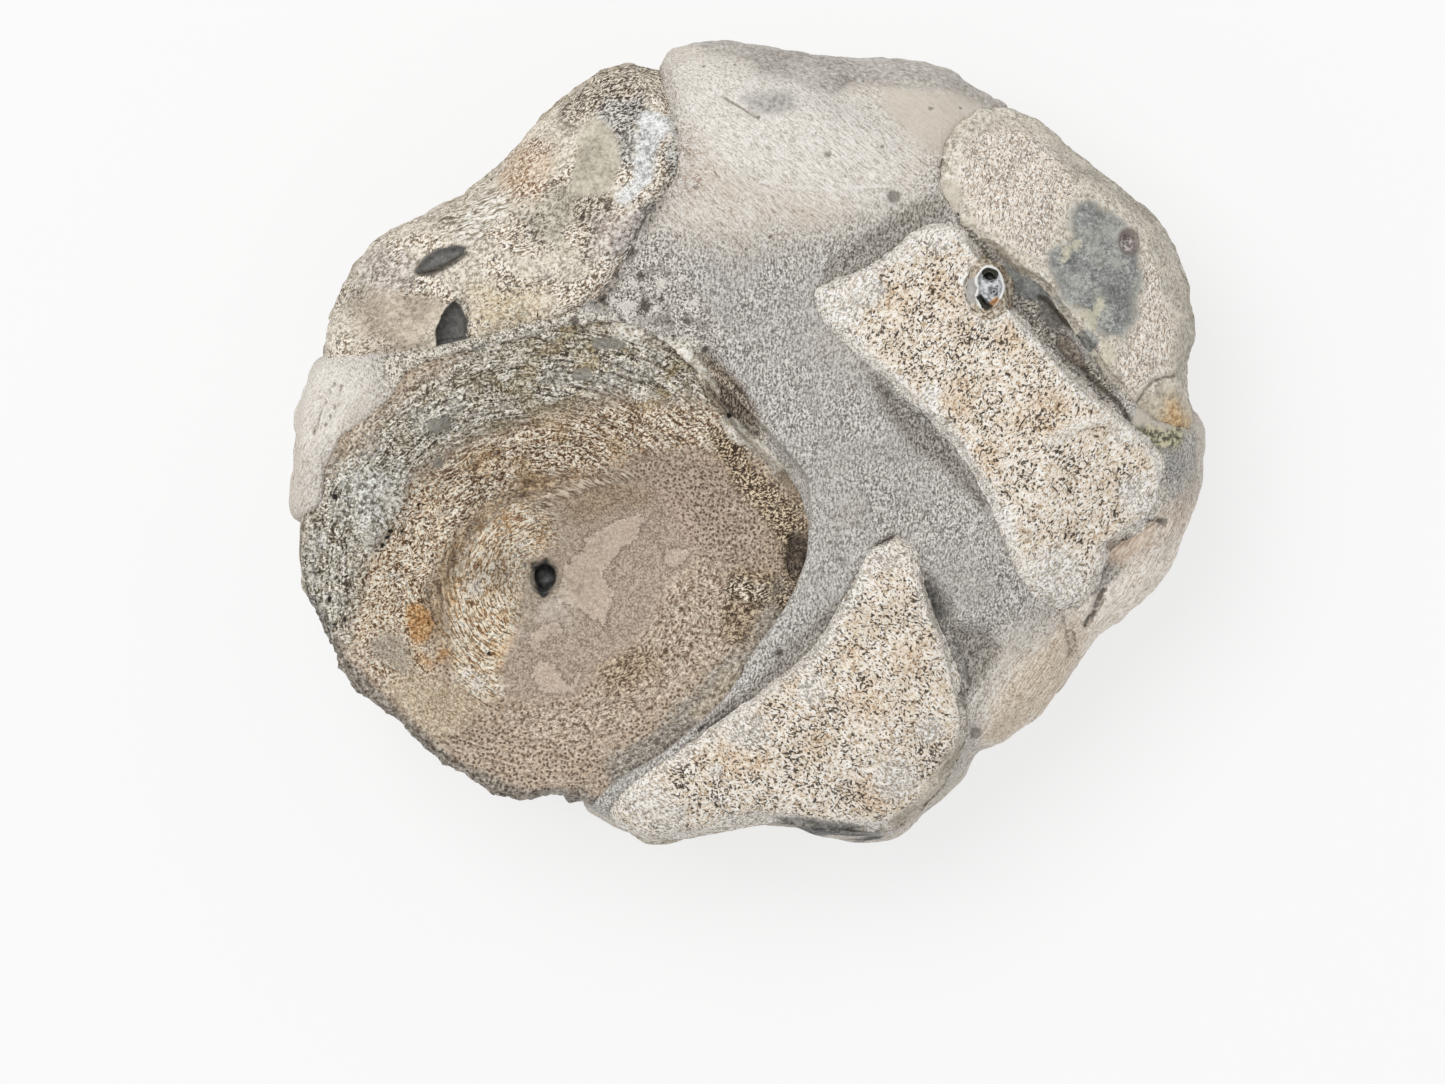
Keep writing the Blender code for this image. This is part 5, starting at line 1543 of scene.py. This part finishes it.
made, shader, place, blotch, speck, struts, holes = spongy("back_right_bone", 75)
grit = place.clouds(0.15, 2.0)
ragged = (blotch - 0.5) * 1.4 + (speck - 0.5) * 1.2
pored = place.over("pink_pored", ragged * 0.8, 0.5).larger(
    place.over("upper_pored", ragged * 0.8, 0.5)
)
grooves = strokes(place, 72, 0.6, 0.11, 0.7).step(0.45, 0.36)
clay = place.over("blue_clay", ragged * 1.2, 0.32).larger(
    place.over("blue_bud", ragged * 0.2, 0.12)
)
dense = place.over("dense_edge", ragged * 0.5, 0.3)
corner = place.over("corner", ragged * 0.4, 0.3)
plain = clay.larger(dense).larger(corner)
colour = coated(
    speck.ramp((184, 174, 157), (226, 218, 203), (244, 239, 227), 0.12),
    (blotch.step(0.5, 0.66) * 0.4, (206, 196, 177)),
    (pored * 0.85, struts, (206, 188, 168), (246, 236, 222), (255, 251, 244), 0.1),
    (grooves * pored * 0.8, (118, 94, 74)),
    (place.over("grey_margin", ragged * 0.6, 0.6, 0.75), blotch * 0.6 + speck * 0.4,
     (166, 158, 146), (190, 182, 169), (212, 204, 190)),
    (holes * (1 - plain * 0.95) * (0.2 + 0.25 * pored), (84, 68, 54)),
    (clay * 0.88, blotch * 0.45 + speck * 0.4 + grit * 0.15,
     (86, 91, 93), (124, 128, 129), (172, 174, 168), 0.08),
    (clay * place.clouds(1.7, 3.0).step(0.5, 0.64) * 0.35, (170, 170, 158)),
    (dense * 0.8, (208, 200, 184)),
    (corner * 0.8, speck * 0.5 + blotch * 0.5, (158, 147, 128), (192, 181, 162), (216, 206, 190)),
    *((place.over(stain, ragged * 0.5, 0.15, 0.7), grit.paint((196, 190, 164), (226, 220, 196)))
      for stain in ("stain_back", "stain_front", "stain_side")),
    (place.over("olive_crumb", ragged * 0.4, 0.3, 0.8), speck,
     (74, 70, 46), (136, 129, 96), (190, 183, 148)),
    (place.over("rust", ragged * 1.2, 0.5, 0.8), speck,
     (150, 104, 52), (206, 162, 104), (230, 206, 162)),
    (place.zone("crack").step(0.86, 0.96) * 0.7, (92, 82, 70)),
    # the crater's brown floor, with painted highlights: pale glint specks
    (place.zone("crater_pit").step(0.4, 0.7) * 0.85,
     speck.step(0.44, 0.56).paint((104, 88, 82), (206, 200, 196))),
    ((place.zone("crater") + (speck - 0.5) * 0.4).step(0.76, 0.95) * 0.7, (112, 96, 90)),
)
colour = side_of(
    place, colour, struts, speck, blotch, (150, 139, 123), (198, 188, 172), (230, 223, 209))
roughness = 0.84 - plain * 0.18 - place.zone("crater_pit") * 0.35
height = (speck * 0.08 + struts * 0.08 - holes * 0.07) * (1 - plain * 0.75)
dress(back_right, made, shader, colour, roughness, height)
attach(back_right, "root")
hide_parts("back_right_centrum")

# The calcite tube: the stub of a small hollow, oval in section, lined with grey calcite. Its thin
# white lip stands just above the split centrum's rim.

TUBE_GRAIN = 0.07
TUBE_MIDDLE = (14.5, 9.1)
TUBE_BORE = 0.8  # half its width inside; it is half as long again
TUBE_FILL = 20.35  # height of the calcite inside
TUBE_LIP = [  # outline of the calcite's thin white lip, round with a point at the front
    (14.55, 10.52), (14.92, 10.41), (15.19, 10.09), (15.35, 9.71), (15.46, 9.23), (15.4, 8.96),
    (15.24, 8.59), (14.98, 8.29), (14.66, 8), (14.23, 7.73), (13.96, 8), (13.74, 8.38), (13.64, 8.7),
    (13.83, 9.13), (13.66, 9.45), (13.66, 9.77), (13.85, 10.11), (14.12, 10.41), (14.34, 10.52)
]
TUBE_GAP = [  # the open hole at the back
    (14.09, 10.24), (14.39, 10.41), (14.71, 10.33), (14.98, 10.22), (15.08, 10.03), (14.98, 9.71),
    (14.71, 9.58), (14.47, 9.66), (14.25, 9.82), (14.04, 10.01)
]
TUBE_CLEFT = [  # the open cleft along the front
    (13.68, 8.64), (13.89, 8.31), (14.07, 7.95), (14.31, 7.71), (14.67, 7.83), (14.85, 8.07),
    (14.49, 8.19), (14.19, 8.49), (13.95, 8.76)
]
TUBE_ORANGE = [(14.28, 7.83), (14.61, 8.16), (14.98, 8.46)]  # rust along the cleft
TUBE_SMEAR = (13.5, 9.0, 0.8)  # x, y, radius of grey calcite smeared on the bone beside the lip
TUBE_HOLES = [  # x, y, radius, depth of small holes in the calcite, painted near black as shade
    (14.81, 8.96, 0.1, 0.3), (14.98, 8.79, 0.08, 0.3), (14.67, 8.89, 0.07, 0.2)
]

tube = fine_copy("calcite_tube", "calcite_stub", TUBE_GRAIN)
evened(tube, 3)
places, facing = points_of(tube), normals_of(tube)
off = places[:, :2] - TUBE_MIDDLE
outward = (off * facing[:, :2]).sum(axis=1) > 0
bedded(tube, stone_tree, 0.9, outward)
bedded(tube, tree_of(split), 0.9, outward)
places = points_of(tube)
off = places[:, :2] - TUBE_MIDDLE
within = np.hypot(off[:, 0], off[:, 1] / 1.5) < TUBE_BORE
lip = inside(places, TUBE_LIP)
gap = np.maximum(inside(places, TUBE_GAP), inside(places, TUBE_CLEFT))
# calcite fills it, apart from the hole, the cleft and three small holes
fill = TUBE_FILL + 0.15 * lumps(places, 0.55, 2, seed=41)
fill -= 1.2 * ease(gap, -0.08, 0.1)
for x, y, radius, deep in TUBE_HOLES:
    fill -= deep * dab(places, x, y, radius)
places[:, 2] = np.where(within, np.maximum(places[:, 2], fill), places[:, 2])
# the wall stands highest at the lip, and lower inside and outside it
sunk = np.maximum(TUBE_FILL + 0.1, places[:, 2] - 0.3)
low = ease(lip, 0.1, 0.2) + ease(lip, 0.0, -0.15)
places[:, 2] += np.where(places[:, 2] > TUBE_FILL, (sunk - places[:, 2]) * low, 0)
placed(tube, places)
evened(tube, 2)
places = points_of(tube)
carved(tube, 0.03 * lumps(places, 0.5, seed=42))
lip = inside(places, TUBE_LIP)
gap = np.maximum(inside(places, TUBE_GAP), inside(places, TUBE_CLEFT))
mark(tube, "lip", lip)
mark(tube, "hole", np.maximum(ease(gap, -0.05, 0.06), dabs(places, TUBE_HOLES)))
mark(tube, "orange", 1 - from_path(places, TUBE_ORANGE))
mark(tube, "smeared", dab(places, *TUBE_SMEAR))

made, shader, place = finish("grey_calcite")
speck = place.clouds(0.25, 3.0, 0.65)
within_lip = place.zone("lip") + (speck - 0.5) * 0.1
outside = within_lip.step(0.02, -0.06)
colour = coated(
    speck.ramp((128, 130, 132), (182, 184, 186), (224, 225, 226)),
    (within_lip.step(0.17, 0.1) * 0.9, (243, 243, 241)),
    ((place.zone("orange") + (speck - 0.5) * 0.2).step(0.78, 0.9) * 0.85,
     speck.paint((150, 88, 30), (226, 176, 108))),
    # painted shade: the open hole, the cleft and the small holes are darkened near black
    (place.zone("hole").step(0.4, 0.65), speck.paint((22, 22, 19), (70, 72, 60))),
    (outside, speck, (116, 98, 78), (190, 176, 155), (232, 224, 208)),
    (outside * place.zone("smeared").step(0.25, 0.5) * 0.8, (176, 174, 172)),
)
dress(tube, made, shader, colour, 0.3 + speck * 0.2, speck * 0.05)
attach(tube, "root")
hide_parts("calcite_tube")

# The pale light table that the nodule lies on, a large soft overhead light and the camera, which
# looks straight down. The table glows a little, so shadows on it are faint.

TABLE_REACH = 1.5  # from its middle to its edges; this section is in metres
TABLE_GREY = (0.25, 0.25, 0.25, 1)
TABLE_GLOW = 0.695
LAMP_PLACE = (-0.28, 0.24, 0.85)
LAMP_WIDTH = 0.5
LAMP_POWER = 3.9
ROOM_LIGHT = 0.62
WHITE = (1, 1, 1, 1)
CAMERA_PLACE = (-0.00155, -0.00613, 0.62)
CAMERA_LENS = 248  # in millimetres, on a sensor 36 mm wide

floor_mesh = bmesh.new()
bmesh.ops.create_grid(floor_mesh, x_segments=1, y_segments=1, size=TABLE_REACH)
floor_data = bpy.data.meshes.new("floor")
floor_mesh.to_mesh(floor_data)
floor_mesh.free()
floor = bpy.data.objects.new("floor", floor_data)
bpy.context.scene.collection.objects.link(floor)
made, shader, _ = finish("white_board")
shader.inputs["Roughness"].default_value = 0.9
shader.inputs["Base Color"].default_value = TABLE_GREY
shader.inputs["Emission Color"].default_value = WHITE
shader.inputs["Emission Strength"].default_value = TABLE_GLOW
floor_data.materials.append(made)

soft_box = bpy.data.lights.new("soft_box", "AREA")
soft_box.size = LAMP_WIDTH
soft_box.energy = LAMP_POWER
lamp = bpy.data.objects.new("soft_box", soft_box)
lamp.location = LAMP_PLACE
lamp.rotation_euler = lamp.location.to_track_quat("Z", "Y").to_euler()
bpy.context.scene.collection.objects.link(lamp)

room = bpy.data.worlds.new("room")
room.use_nodes = True
glow = room.node_tree.nodes["Background"]
glow.inputs["Color"].default_value = WHITE
glow.inputs["Strength"].default_value = ROOM_LIGHT
bpy.context.scene.world = room
bpy.context.scene.view_settings.view_transform = "Standard"

camera = bpy.data.objects.new("camera", bpy.data.cameras.new("camera"))
camera.data.lens = CAMERA_LENS
camera.data.sensor_width = 36
camera.data.clip_end = 10
camera.location = CAMERA_PLACE
bpy.context.scene.collection.objects.link(camera)
bpy.context.scene.camera = camera
